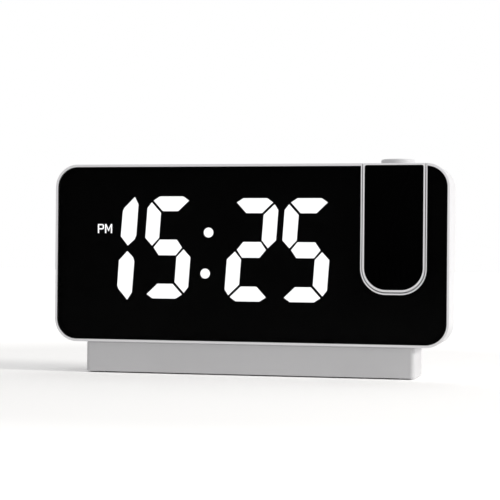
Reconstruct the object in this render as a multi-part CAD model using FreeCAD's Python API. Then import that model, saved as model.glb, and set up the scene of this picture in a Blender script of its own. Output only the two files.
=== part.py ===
"""Projection alarm clock: mirror-fronted case on a low base, with a projector arm that flips up.

Units are millimetres. +X is to the right of someone reading the clock, the display faces -Y and
+Z is up. The origin is the middle of the space that the clock covers, at the table it stands on.
"Depth" always means the distance behind the front plane of the case.
"""
import FreeCAD, Part
import math
import os

Vector = FreeCAD.Vector

# Overall case
CASE_W = 185.0            # width of the case
CASE_H = 82.8             # height of the case
CASE_D = 29.0             # depth of the case
CASE_CORNER_R = 10.7      # corners seen from the front
FRONT_EDGE_R = 0.4        # rounding of the front rim
REAR_EDGE_R = 3.0         # rounding of the rear edge
WALL = 2.0                # wall of the case mouldings
PARTING_D = 8.8           # depth of the joint between frame and rear cover
LIP_T = 1.0               # thickness of the rear cover's locating lips
LIP_L = 2.0               # reach of the lips into the frame
LIP_GAP = 0.1             # clearance of the lips
BEZEL = 1.15              # white rim seen round the mirror
SEAM = 0.2                # bevel on both sides of that joint
LEDGE_W = 2.0             # width of the ledge behind the mirror
LEDGE_T = 1.5             # thickness of that ledge
WINDOW_T = 1.5            # thickness of the mirror window
WINDOW_RECESS = 0.2       # mirror face behind the rim
WINDOW_GAP = 0.1          # clearance round the mirror

# Base
BASE_SIDE = 15.4          # base drawn in from either side of the case
BASE_REAR = 2.0           # base's rear face behind the case's
BASE_TOP_Z = 14.4         # height at which the case starts
BASE_INSET = 0.8          # base front behind the case front
BASE_CORNER_R = 2.0       # upright edges of the base
BASE_EDGE_R = 0.6         # top edge of the base
BASE_WALL = 2.0           # wall of the base moulding
BASE_LIFT = 0.6           # underside of the base above the table
COVER_T = 1.8             # base cover
COVER_GAP = 0.15          # clearance round the base cover
FOOT_R = 4.0              # rubber foot
FOOT_SINK = 0.6           # how far a foot is let into the cover
FOOT_SIDE = 11.1          # feet from the base's sides
FOOT_INSET = 7.5          # feet from the base's front and rear faces
BALLAST_SIDE = 25.1       # steel weight from the base's sides
BALLAST = (20.0, 4.0)     # its depth and height

# Projector arm: a U-shaped flap, seen from the front
ARM_L = 57.0              # top of the case to the lowest point of the arm's mirror plate
PANEL_HALF = 13.25        # half width of the arm's mirror plate
PANEL_CORNER_R = 10.0     # its lower corners
TIP_RATIO = 1.3           # rims and gaps at the tip, compared with those at the sides
ARM_RIM = 0.8             # white rim round the arm's mirror plate
WELL_GAP = 0.4            # clearance between the arm and its well
WELL_RIM = 0.55           # white rim of the well
WELL_WALL = 1.4           # side walls of the well behind the window
WELL_BOSS_GAP = 0.15      # between the well and the bosses of the case screws
ARM_TOP_RIM = 0.9         # rim above the arm's mirror plate
TIP_DRAFT = 0.063         # rise of the arm's tip for each unit of depth, so that it swings clear
PLATE_T = 1.0             # thickness of the arm's mirror plate
PLATE_TOP_R = 0.9         # upper corners of the arm's mirror plate
NECK_L = 8.7              # below the top, where the arm swells to its full thickness
ARM_SKIN = 1.0            # front wall of the arm shell
ARM_SIDE = 1.3            # side walls of the arm shell
ARM_BACK_R = 0.8          # rounding of the arm's back edges
COVER_RIM = 0.7           # shell rim seen round the arm cover
COVER_LEDGE = 0.8         # ledge under the arm cover's upper edge
ARM_COVER_T = 1.4         # arm cover
FIT_GAP = 0.05            # clearance of snug parts
AXIS_INSET = 3.4          # hinge axis from the front face and from the top face
SWEEP_GAP = 0.3           # clearance round the arm's turning corner
BACK_GAP = 2.2            # room behind the closed arm
WELL_BACK = 1.2           # rear wall of the well
WELL_CURVE_T = 0.9        # its wall behind the arm's turning corner
WELL_LIP_GAP = 0.1        # below the rear cover's top wall
PIN_R = 1.2               # hinge pin
PIN_BORE_R = 0.6          # wire passage in the hinge pins
PIN_GRIP = 3.0            # length of pin held in the arm
PIN_RUN_GAP = 0.05        # running clearance of the pins in the well
WASHER_R = 2.2            # friction washers
WASHER_T = 0.3            # their thickness

# Projector optics, all on one upright line in the closed arm; "up" is above the plate's tip
CELL_R = 3.2              # lens cell
CELL_L = 12.0             # its length
CELL_UP = 1.7             # its lower end, in the middle of its travel
CELL_TRAVEL = 1.0         # travel either way
LENS_R = 2.6              # projection lens
LENS_T = 2.2              # its thickness in the middle
LENS_EDGE_T = 1.0         # and at its edge
LENS_SEAT = 0.6           # lens above the lower end of the cell
APERTURE_R = 2.3          # clear opening of the cell
PORT_R = 2.9              # opening in the arm's tip
WHEEL_R = 6.2             # focus wheel over its knurls
WHEEL_UP = 6.0            # underside of the wheel
WHEEL_T = 4.0             # its thickness
WHEEL_GAP = 0.3           # clearance above, below and round the wheel
WHEEL_SKIN = 0.5          # skin left in front of its room
KNURLS = 36               # flutes of the wheel
KNURL_DEPTH = 0.35        # depth of a flute
CHEEK_T = 1.1             # ribs that hold the wheel
HOUSE_HALF = 7.0          # half width of the lamp house
HOUSE_SIDE = 3.85         # lamp house before and behind the axis
HOUSE_H = 20.0            # height of the lamp house
HOUSE_TOP_GAP = 0.45      # above the lamp board
HOUSE_WALL = 0.8          # its wall
TUBE_R = 3.85             # guide tube under the lamp house
LCD_T = 1.1               # liquid-crystal slide
LCD_UP = 4.5              # its underside above the house's
LCD_SLOT = 0.4            # how far the slide sits in its grooves
CONDENSER_R = 2.9         # condenser lens
CONDENSER_T = 2.0         # its thickness
CONDENSER_UP = 10.5       # its flat face above the house's underside
LAMP_BOARD_T = 1.0        # circuit board above the lamp house
LAMP = (3.0, 3.0, 1.2)    # light source
ARM_SCREW_X = 9.7         # arm screws from the middle of the arm
ARM_SCREW_UP = 14.8       # the lower ones
ARM_SCREW_BELOW = 1.0     # the upper ones below the top of the lamp house
ARM_BOSS_R = 1.9

# Snooze button
BUTTON_MARGIN = 0.6       # least flat top left before and behind its hole
BUTTON_BACK = 0.5         # its centre behind the middle of the flat top
BUTTON_LEFT = 0.4         # its centre to the left of the arm's
BUTTON_PROUD = 2.6        # height above the case
BUTTON_EDGE_R = 0.8       # rounding of the cap
BUTTON_WALL = 1.2
BUTTON_TRAVEL = 0.8
BUTTON_GAP = 0.2          # clearance in its hole
BUTTON_EAR = 1.0          # reach of the two ears that keep it in
BUTTON_EAR_HALF = 2.6     # half their width

# Rear keys
KEY_W, KEY_H = 9.0, 5.0   # oval key caps
KEY_NAMES = ("mode_key", "up_key", "down_key", "alarm_key", "projector_key")
KEY_X0 = -46.0            # first key
KEY_PITCH = 16.0
KEY_BELOW = 17.2          # keys below the top of the case
KEY_PROUD = 0.8
KEY_TRAVEL = 0.5
KEY_GAP = 0.2
KEY_EDGE_R = 0.4
KEY_FLANGE = 1.0          # reach and thickness of the flange that keeps a key in
SWITCH = 6.0              # side of a switch
SWITCH_H = 3.4            # height of a switch
STEM_L = 1.95             # free length of a key's stem
STEM_R = 1.5              # stems that work the switches
STEM_GAP = 0.15           # clearance of a stem in its switch

# Boards
BOARD_T = 1.6
DISPLAY_BOARD_IN = (9.5, 4.95)              # in from the case's left and from the well
DISPLAY_BOARD_GAP = 0.3   # its front face behind the joint of the case
DISPLAY_SCREW_IN = (13.0, 6.5, 2.7, 2.5)    # its screws, in from its edges
MAIN_BOARD_IN = (22.5, 1.45)                # in from the case's left and from the well
MAIN_BOARD_H = 44.0
MAIN_BOARD_BELOW = 9.2    # its top edge below the top of the case
MAIN_POST_IN = (5.0, 6.0, 5.0, 5.0)         # its screws, in from its edges
POST_R = 2.4
PILOT_R = 1.0             # holes for small screws
SCREW_HEAD_R = 2.0
SCREW_HEAD_T = 1.4
SCREW_GAP = 0.2           # clearance of screws and their heads
SCREW_SLOT = 0.7          # width and depth of the slot in a head
HEADER = (-18.0, 8.0, 8.2, 13.2)            # plug between the boards: left, right, above middle
BOARD_CHIPS = ((0.183, 12.0, 12.0, 1.6), (0.333, 8.0, 6.0, 1.6), (0.767, 10.0, 10.0, 1.6),
               (0.883, 6.5, 6.5, 4.5))      # place along the board, width, height, thickness

# Display: slanted seven-segment digits
DIGIT_PLACES = (-0.35243, -0.20703, 0.00757, 0.1454)   # centres, as shares of the case width
DIGIT_ABOVE = 2.0         # middle of the digits above the middle of the case
DIGIT_W_SHARE = 0.12054   # width of a digit, as a share of the case width
DIGIT_MARGIN = 35.3       # case height less the height of the digits
BAR_T = 7.35              # thickness of the level segments
SIDE_T = 7.0              # thickness of the upright segments
SEGMENT_GAP = 0.65        # gap between segments
SLANT = 0.077             # sideways lean for each unit of height
SHOULDER = (5.6, 5.4)     # what is cut from a digit's corners: sideways, upwards
SHOULDER_BULGE = (3.3, 2.35)  # point of the cut corner, from its upper end
COLON_R = 2.45
COLON_PLACES = ((-0.1016, 7.8), (-0.1097, -11.2))      # share of the width; above the middle
LIT = ("bc", "acdfg", "abdeg", "acdfg")     # 15:25
FIRST_DIGIT = "abcdeg"    # the tens of hours needs no upper left segment
LETTER_WINDOW = (-8.2, 0.6, 6.7, 12.3)      # afternoon sign, from the middle of the first digit
REFLECTOR_OUT = (3.32, 3.62, 4.05, 3.95)    # beyond the digits: left, right, below, above
DIFFUSER_T = 1.2
DIFFUSER_GAP = 0.08
CAVITY_LEDGE = 0.054      # how far a cavity's mouth is drawn in behind the diffuser, as a share
CAVITY_SHRINK = 0.5       # size of a cavity at the board, compared with its mouth
COLON_CAVITY = (2.05, 1.47)                 # radii of the colon's cavities: mouth, board
LED_CHIP = (2.2, 1.4, 0.8)

# Rear features
BUZZER_R = 10.0
BUZZER_T = 5.0
BUZZER_X = -35.0
BUZZER_UP = 16.1          # its middle above the base
BUZZER_RING_T = 1.2
GRILLE_SLOT = 1.6
GRILLE_PITCH = 3.2
GRILLE_COUNT = 5
CELL_BATTERY_R = 10.0
CELL_BATTERY_T = 3.2
BATTERY_X = 22.0
BATTERY_BELOW = 37.2      # its middle below the top of the case
HOLDER_WALL = 1.4
HOLDER_FLOOR = 0.6
DOOR_R = 12.6
DOOR_T = 1.1
DOOR_EAR_R = 3.4
DOOR_EAR_L = 14.4         # ear below the middle of the door
DOOR_GAP = 0.15
PORT_BOARD = (-7.0, 40.0)                   # left, right
PORT_BOARD_GAP = 0.9      # its front edge behind the heads of the display screws
PORT_BOARD_UP = 4.8       # above the base
PORT_BOARD_T = 1.2
PORT_POST_X = (-3.5, 16.5, 36.5)
USB_OUT = (13.1, 5.8, 14.0)                 # width, height, depth
USB_OUT_X = 27.5
USB_OUT_R = 0.7           # its corners
USB_OUT_TONGUE = (1.8, 3.1)                 # thickness, height above the board
USB_IN = (9.0, 3.3, 7.5)
USB_IN_X = 4.0
USB_IN_R = 1.3
USB_IN_TONGUE = (0.7, 1.3)
SHELL_T = 0.35            # sheet of the two sockets
SOCKET_BACK_T = 1.05      # their inner ends
TONGUE_SHARE = 2.0 / 3.0  # width of a tongue, compared with its socket
PORT_GAP = 0.3            # clearance round the sockets in the rear cover

# Fasteners
CASE_SCREW_SIDE = 6.2     # from the case's sides
CASE_SCREW_UP = 16.6      # the lower ones above the base
CASE_SCREW_BELOW = 18.2   # the upper ones below the top
CASE_BOSS_R = 3.0
CASE_SCREW_SINK = 11.0    # seats of their heads, in from the rear
SCREW_R = 1.2
SCREW_BITE = 4.5          # length of screw in its boss
STAND_SCREW_SIDE = 15.1   # from the base's sides
STAND_SCREW_IN = 11.0     # in from the rear of the case
STAND_HEAD_R = 2.8
STAND_BOSS_R = 3.6
STAND_BOSS_H = 7.0
COVER_SCREW_SIDE = 5.1    # from the base's sides
COVER_SCREW_INSET = 6.0
COVER_SCREW_END = 0.6     # their pilot holes beyond their tips
COVER_HEAD_T = 0.6
BASE_BOSS_R = 2.6

# Worked out from the above
BASE_W = CASE_W - 2.0 * BASE_SIDE
BASE_D = CASE_D - BASE_INSET + BASE_REAR
DEPTH = BASE_INSET + BASE_D
FRONT_Y = -DEPTH / 2.0
CASE_TOP_Z = BASE_TOP_Z + CASE_H
CASE_MID_Z = BASE_TOP_Z + CASE_H / 2.0
AXIS_Z = CASE_TOP_Z - AXIS_INSET
WINDOW_BACK_D = WINDOW_RECESS + WINDOW_T
REAR_IN_D = CASE_D - WALL
CASE_SCREW_X = CASE_W / 2.0 - CASE_SCREW_SIDE
CASE_SCREW_Z = (BASE_TOP_Z + CASE_SCREW_UP, CASE_TOP_Z - CASE_SCREW_BELOW)
CASE_SCREW_SEAT_D = CASE_D - CASE_SCREW_SINK
WELL_HALF = PANEL_HALF + ARM_RIM + WELL_GAP + WELL_WALL
ARM_X = CASE_SCREW_X - CASE_BOSS_R - WELL_BOSS_GAP - WELL_HALF
PLATE_BACK_D = WINDOW_RECESS + PLATE_T
ARM_IN_D = PLATE_BACK_D + ARM_SKIN
OPTIC_D = PLATE_BACK_D + WHEEL_SKIN + WHEEL_GAP + WHEEL_R
ARM_COVER_D = OPTIC_D + HOUSE_SIDE + FIT_GAP
ARM_T = ARM_COVER_D + ARM_COVER_T
PANEL_TIP_Z = CASE_TOP_Z - ARM_L
ARM_TIP_Z = PANEL_TIP_Z - ARM_RIM * TIP_RATIO
NECK_Z = CASE_TOP_Z - NECK_L
NECK_D = 2.0 * AXIS_INSET
SHOULDER_Z = NECK_Z - (ARM_T - NECK_D)
ARM_COVER_TOP_Z = SHOULDER_Z - WALL
CELL_REST_Z = PANEL_TIP_Z + CELL_UP
WHEEL_Z = PANEL_TIP_Z + WHEEL_UP
HOUSE_TOP_Z = ARM_COVER_TOP_Z - COVER_LEDGE - HOUSE_TOP_GAP - LAMP_BOARD_T - FIT_GAP
HOUSE_Z = (HOUSE_TOP_Z - HOUSE_H, HOUSE_TOP_Z)
LCD_Z = HOUSE_Z[0] + LCD_UP
CONDENSER_Z = HOUSE_Z[0] + CONDENSER_UP
ARM_SCREW_Z = (PANEL_TIP_Z + ARM_SCREW_UP, HOUSE_TOP_Z - ARM_SCREW_BELOW)
FLAT_TOP = CASE_D - PARTING_D - REAR_EDGE_R
BUTTON_R = FLAT_TOP / 2.0 - BUTTON_GAP - BUTTON_MARGIN
BUTTON_D = PARTING_D + FLAT_TOP / 2.0 + BUTTON_BACK
BUTTON_X = ARM_X - BUTTON_LEFT
KEY_Z = CASE_TOP_Z - KEY_BELOW
DISPLAY_BOARD_D = PARTING_D + DISPLAY_BOARD_GAP
DISPLAY_BOARD_EDGE = WALL + LIP_T + LIP_GAP
DISPLAY_BOARD = (-CASE_W / 2.0 + DISPLAY_BOARD_IN[0], ARM_X - WELL_HALF - DISPLAY_BOARD_IN[1],
                 BASE_TOP_Z + DISPLAY_BOARD_EDGE, CASE_TOP_Z - DISPLAY_BOARD_EDGE)
MAIN_BOARD_D = REAR_IN_D - FIT_GAP - KEY_FLANGE - STEM_L - SWITCH_H - BOARD_T
MAIN_BOARD_TOP_Z = CASE_TOP_Z - MAIN_BOARD_BELOW
MAIN_BOARD = (-CASE_W / 2.0 + MAIN_BOARD_IN[0], ARM_X - WELL_HALF - MAIN_BOARD_IN[1],
              MAIN_BOARD_TOP_Z - MAIN_BOARD_H, MAIN_BOARD_TOP_Z)
DIGIT_CENTRES = tuple(share * CASE_W for share in DIGIT_PLACES)
DIGIT_Z = CASE_MID_Z + DIGIT_ABOVE
DIGIT_W = DIGIT_W_SHARE * CASE_W
DIGIT_H = CASE_H - DIGIT_MARGIN
COLON_DOTS = tuple((share * CASE_W, DIGIT_Z + up) for share, up in COLON_PLACES)
DIGIT_REACH = (DIGIT_W + SLANT * DIGIT_H) / 2.0
REFLECTOR = (DIGIT_CENTRES[0] - DIGIT_REACH - REFLECTOR_OUT[0],
             DIGIT_CENTRES[-1] + DIGIT_REACH + REFLECTOR_OUT[1],
             DIGIT_Z - DIGIT_H / 2.0 - REFLECTOR_OUT[2],
             DIGIT_Z + DIGIT_H / 2.0 + REFLECTOR_OUT[3])
BUZZER_Z = BASE_TOP_Z + BUZZER_UP
BATTERY_Z = CASE_TOP_Z - BATTERY_BELOW
DOOR_EAR_Z = BATTERY_Z - DOOR_EAR_L
PORT_BOARD_Z = BASE_TOP_Z + PORT_BOARD_UP
PORT_BOARD_D = DISPLAY_BOARD_D + BOARD_T + SCREW_HEAD_T + PORT_BOARD_GAP
STAND_SCREW_X = BASE_W / 2.0 - STAND_SCREW_SIDE
STAND_SCREW_D = CASE_D - STAND_SCREW_IN
COVER_SCREW_X = BASE_W / 2.0 - COVER_SCREW_SIDE
FOOT_X = BASE_W / 2.0 - FOOT_SIDE
WELL_D = ARM_T + BACK_GAP
SWEEP_R = AXIS_INSET * math.sqrt(2.0) + SWEEP_GAP
BEYOND = 1.0              # how far a cutting tool reaches past a face
HAIR = 1e-3               # keeps full rounds from closing on a point
NEAR = 1e-4               # distances below this count as none


def corner_places(edges, insets):
    """Four places drawn in from the left, right, bottom and top edges of a board."""
    left, right, low, high = edges
    xs = (left + insets[0], right - insets[1])
    return [(x, z) for x in xs for z in (low + insets[2], high - insets[3])]


DISPLAY_SCREWS = corner_places(DISPLAY_BOARD, DISPLAY_SCREW_IN)
MAIN_POSTS = corner_places(MAIN_BOARD, MAIN_POST_IN)


def at_depth(depth):
    """Y of a plane at the given depth behind the front."""
    return FRONT_Y + depth


def rounded_face(corners, place):
    """Face with the given corners (a, b, radius), set in space by place(a, b)."""
    count = len(corners)
    turns = []
    for index, (a, b, radius) in enumerate(corners):
        here = Vector(a, b, 0)
        before = (Vector(*corners[index - 1][:2], 0) - here).normalize()
        after = (Vector(*corners[(index + 1) % count][:2], 0) - here).normalize()
        half = before.getAngle(after) / 2.0
        reach = radius / math.tan(half)
        middle = here + (before + after).normalize() * (radius / math.sin(half) - radius)
        turns.append((here + before * reach, middle, here + after * reach, radius))
    edges = []
    for index, (start, middle, end, radius) in enumerate(turns):
        if radius > 0:
            arc = Part.Arc(*[place(p.x, p.y) for p in (start, middle, end)])
            edges.append(arc.toShape())
        following = turns[(index + 1) % count][0]
        if (following - end).Length > NEAR:
            edges.append(Part.makeLine(place(end.x, end.y), place(following.x, following.y)))
    return Part.Face(Part.Wire(edges))


def front_prism(corners, depth_from, depth_to):
    """Solid whose outline is seen from the front, between two depths."""
    face = rounded_face(corners, lambda a, b: Vector(a, at_depth(depth_from), b))
    return face.extrude(Vector(0, depth_to - depth_from, 0))


def arm_prism(step, top_z, depth_from, depth_to, top_r=0.0):
    """Part of the arm's thickness, its outline rising with depth by the draft of the tip."""
    lift = TIP_DRAFT * depth_from
    corners = [(x, z + lift, radius) for x, z, radius in arm_outline(step, top_z - lift, top_r)]
    face = rounded_face(corners, lambda a, b: Vector(a, at_depth(depth_from), b))
    thick = depth_to - depth_from
    return face.extrude(Vector(0, thick, TIP_DRAFT * thick))


def side_prism(corners, x_from, x_to):
    """Solid whose outline (depth, height) is seen from the side."""
    face = rounded_face(corners, lambda a, b: Vector(x_from, at_depth(a), b))
    return face.extrude(Vector(x_to - x_from, 0, 0))


def plan_prism(corners, z_from, z_to):
    """Solid whose outline (x, y) is seen from above."""
    face = rounded_face(corners, lambda a, b: Vector(a, b, z_from))
    return face.extrude(Vector(0, 0, z_to - z_from))


def block(x_from, x_to, depth_from, depth_to, z_from, z_to):
    """Plain block between two sides, two depths and two heights."""
    corner = Vector(x_from, at_depth(depth_from), z_from)
    return Part.makeBox(x_to - x_from, depth_to - depth_from, z_to - z_from, corner)


def rod_back(x, z, radius, depth_from, depth_to):
    """Round bar along the depth."""
    start = Vector(x, at_depth(depth_from), z)
    return Part.makeCylinder(radius, depth_to - depth_from, start, Vector(0, 1, 0))


def rod_up(x, depth, radius, z_from, z_to):
    """Round upright bar."""
    return Part.makeCylinder(radius, z_to - z_from, Vector(x, at_depth(depth), z_from))


def rod_across(x_from, x_to, depth, z, radius):
    """Round bar along X."""
    start = Vector(x_from, at_depth(depth), z)
    return Part.makeCylinder(radius, x_to - x_from, start, Vector(1, 0, 0))


def rectangle(width, height, radius, x=0.0, z=CASE_MID_Z):
    """Corners of a rounded rectangle about a centre."""
    left, right = x - width / 2.0, x + width / 2.0
    low, high = z - height / 2.0, z + height / 2.0
    return [(left, low, radius), (right, low, radius), (right, high, radius), (left, high, radius)]


def case_outline(inset):
    """Corners of the case outline, drawn in by inset."""
    radius = CASE_CORNER_R - inset
    return rectangle(CASE_W - 2.0 * inset, CASE_H - 2.0 * inset, radius)


def arm_outline(step, top_z, top_r=0.0):
    """U of the arm's mirror plate, widened by step."""
    half = PANEL_HALF + step
    tip = PANEL_TIP_Z - step * TIP_RATIO
    radius = PANEL_CORNER_R + step
    left, right = ARM_X - half, ARM_X + half
    return [(left, tip, radius), (right, tip, radius), (right, top_z, top_r), (left, top_z, top_r)]


def edges_at_depth(shape, depth):
    """Edges that lie in the plane at one depth."""
    y = at_depth(depth)
    return [e for e in shape.Edges
            if abs(e.BoundBox.YMin - y) < NEAR and abs(e.BoundBox.YMax - y) < NEAR]


def edges_at_height(shape, z):
    """Edges that lie in the plane at one height."""
    return [e for e in shape.Edges
            if abs(e.BoundBox.ZMin - z) < NEAR and abs(e.BoundBox.ZMax - z) < NEAR]


def fuse_all(first, others):
    """One solid from a piece and what is moulded on it."""
    return first.fuse(others).removeSplitter()


def screw_back(x, z, radius, head_r, seat_depth, tip_depth):
    """Pan-head screw driven from the rear: head behind seat_depth, tip towards the front."""
    head = rod_back(x, z, head_r, seat_depth, seat_depth + SCREW_HEAD_T)
    shank = rod_back(x, z, radius, tip_depth, seat_depth)
    slot = block(x - head_r, x + head_r, seat_depth + SCREW_HEAD_T - SCREW_SLOT,
                 seat_depth + SCREW_HEAD_T + BEYOND, z - SCREW_SLOT / 2.0, z + SCREW_SLOT / 2.0)
    return head.fuse(shank).cut(slot)


def screw_up(x, depth, radius, head_r, seat_z, tip_z):
    """Pan-head screw driven from below: head under seat_z, tip upwards."""
    head = rod_up(x, depth, head_r, seat_z - SCREW_HEAD_T, seat_z)
    shank = rod_up(x, depth, radius, seat_z, tip_z)
    slot = block(x - head_r, x + head_r, depth - SCREW_SLOT / 2.0, depth + SCREW_SLOT / 2.0,
                 seat_z - SCREW_HEAD_T - BEYOND, seat_z - SCREW_HEAD_T + SCREW_SLOT)
    return head.fuse(shank).cut(slot)


# Case mouldings

def case_block():
    """Outside of the whole case, before it is divided and hollowed."""
    solid = front_prism(case_outline(0.0), 0.0, CASE_D)
    solid = solid.makeFillet(REAR_EDGE_R, edges_at_depth(solid, CASE_D))
    return solid.makeFillet(FRONT_EDGE_R, edges_at_depth(solid, 0.0))


def case_screw_places():
    """Centres of the four screws that join frame and rear cover."""
    return [(side * CASE_SCREW_X, z) for side in (-1, 1) for z in CASE_SCREW_Z]


def front_frame():
    """White frame: rim, mirror ledge, side walls and the bosses for the case screws."""
    ledge_d = WINDOW_BACK_D + LEDGE_T
    high = CASE_TOP_Z + BEYOND
    frame = case_block().common(
        block(-CASE_W, CASE_W, -BEYOND, PARTING_D, 0.0, 2.0 * CASE_TOP_Z))
    frame = frame.makeChamfer(SEAM, edges_at_depth(frame, PARTING_D))
    frame = frame.cut([
        front_prism(case_outline(BEZEL), -BEYOND, WINDOW_BACK_D),
        front_prism(case_outline(BEZEL + LEDGE_W), 0.0, ledge_d),
        front_prism(case_outline(WALL), ledge_d, PARTING_D + BEYOND)])
    bosses, pilots = [], []
    for x, z in case_screw_places():
        wall_x = math.copysign(CASE_W / 2.0 - WALL, x)
        bosses.append(rod_back(x, z, CASE_BOSS_R, ledge_d, PARTING_D))
        bosses.append(block(min(x, wall_x), max(x, wall_x), ledge_d, PARTING_D,
                            z - WALL / 2.0, z + WALL / 2.0))
        pilots.append(rod_back(x, z, SCREW_R + FIT_GAP, PARTING_D - SCREW_BITE,
                               PARTING_D + BEYOND))
    for x, z in DISPLAY_SCREWS:
        low = z < CASE_MID_Z
        wall_z = BASE_TOP_Z + WALL if low else CASE_TOP_Z - WALL
        bosses.append(rod_back(x, z, POST_R, ledge_d, DISPLAY_BOARD_D))
        bosses.append(block(x - POST_R, x + POST_R, ledge_d, PARTING_D,
                            min(z, wall_z), max(z, wall_z)))
        pilots.append(rod_back(x, z, PILOT_R + FIT_GAP,
                               DISPLAY_BOARD_D + BOARD_T - SCREW_BITE - FIT_GAP,
                               DISPLAY_BOARD_D + BEYOND))
    frame = fuse_all(frame, bosses).cut(pilots)
    mouth = arm_outline(ARM_RIM + WELL_GAP + WELL_RIM, high)
    room = arm_outline(ARM_RIM + WELL_GAP + WELL_WALL + FIT_GAP, high)
    return frame.cut([front_prism(mouth, -BEYOND, WINDOW_BACK_D),
                      front_prism(room, WINDOW_BACK_D, PARTING_D + BEYOND)])


def lips():
    """Lips on the rear cover that locate it inside the frame."""
    inner_x = CASE_W / 2.0 - WALL
    low_z, high_z = BASE_TOP_Z + WALL, CASE_TOP_Z - WALL
    reach, root = PARTING_D - LIP_L, PARTING_D + LIP_L
    left, right = DISPLAY_SCREWS[0][0] + 2.0 * POST_R, DISPLAY_SCREWS[2][0] - 2.0 * POST_R
    side_low = CASE_SCREW_Z[0] + 2.0 * CASE_BOSS_R
    side_high = CASE_SCREW_Z[1] - 2.0 * CASE_BOSS_R
    pieces = []
    for side in (-1, 1):
        wall, skin = side * inner_x, side * (inner_x - LIP_T)
        clear = side * (inner_x - LIP_GAP)
        pieces.append(block(min(clear, skin), max(clear, skin), reach, root, side_low, side_high))
        pieces.append(block(min(wall, skin), max(wall, skin), PARTING_D, root,
                            side_low, side_high))
    for wall, inward in ((low_z, 1.0), (high_z, -1.0)):
        skin, clear = wall + inward * LIP_T, wall + inward * LIP_GAP
        pieces.append(block(left, right, reach, root, min(clear, skin), max(clear, skin)))
        pieces.append(block(left, right, PARTING_D, root, min(wall, skin), max(wall, skin)))
    return pieces


def key_places():
    """Centres of the five rear keys."""
    return [(KEY_X0 + index * KEY_PITCH, KEY_Z) for index in range(len(KEY_NAMES))]


def oval(width, height, x, z):
    """Corners of an oval with round ends."""
    return rectangle(width, height, height / 2.0 - HAIR, x, z)


def snooze_shelf():
    """Two brackets in the rear cover that carry the snooze board."""
    low, high = snooze_board_z() - WALL, snooze_board_z()
    half = SWITCH + WALL
    front = BUTTON_D - SWITCH / 2.0
    return [block(BUTTON_X + side * half - WALL / 2.0, BUTTON_X + side * half + WALL / 2.0,
                  front, REAR_IN_D, low, high) for side in (-1, 1)]


def snooze_board_z():
    """Underside of the board under the snooze button."""
    return button_bottom_z() - SWITCH_H - PORT_BOARD_T - BUTTON_TRAVEL


def button_bottom_z():
    """Lower edge of the snooze button's cap."""
    return CASE_TOP_Z - WALL - BUTTON_EAR


def grille_slots():
    """Slots in front of the sounder, shorter towards the sides."""
    slots = []
    for index in range(GRILLE_COUNT):
        offset = (index - (GRILLE_COUNT - 1) / 2.0) * GRILLE_PITCH
        length = 2.0 * math.sqrt((BUZZER_R - GRILLE_PITCH / 2.0) ** 2 - offset ** 2)
        x = BUZZER_X + offset
        slot = rectangle(GRILLE_SLOT, length, GRILLE_SLOT / 2.0 - HAIR, x, BUZZER_Z)
        slots.append(front_prism(slot, REAR_IN_D - BEYOND, CASE_D + BEYOND))
    return slots


def door_solid(gap, depth_from, depth_to):
    """Round battery door with its screw ear, grown by gap."""
    disc = rod_back(BATTERY_X, BATTERY_Z, DOOR_R + gap, depth_from, depth_to)
    ear_half = DOOR_EAR_R + gap
    ear = rod_back(BATTERY_X, DOOR_EAR_Z, ear_half, depth_from, depth_to)
    web = block(BATTERY_X - ear_half, BATTERY_X + ear_half, depth_from, depth_to,
                DOOR_EAR_Z, BATTERY_Z)
    return disc.fuse([ear, web]).removeSplitter()


def port_mouth(socket, x):
    """Hole in the rear cover for a socket that stands on the port board."""
    width, height = socket[0], socket[1]
    low = PORT_BOARD_Z + PORT_BOARD_T
    corners = rectangle(width + 2.0 * PORT_GAP, height + 2.0 * PORT_GAP, PORT_GAP,
                        x, low + height / 2.0)
    return front_prism(corners, REAR_IN_D - BEYOND, CASE_D + BEYOND)


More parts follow.
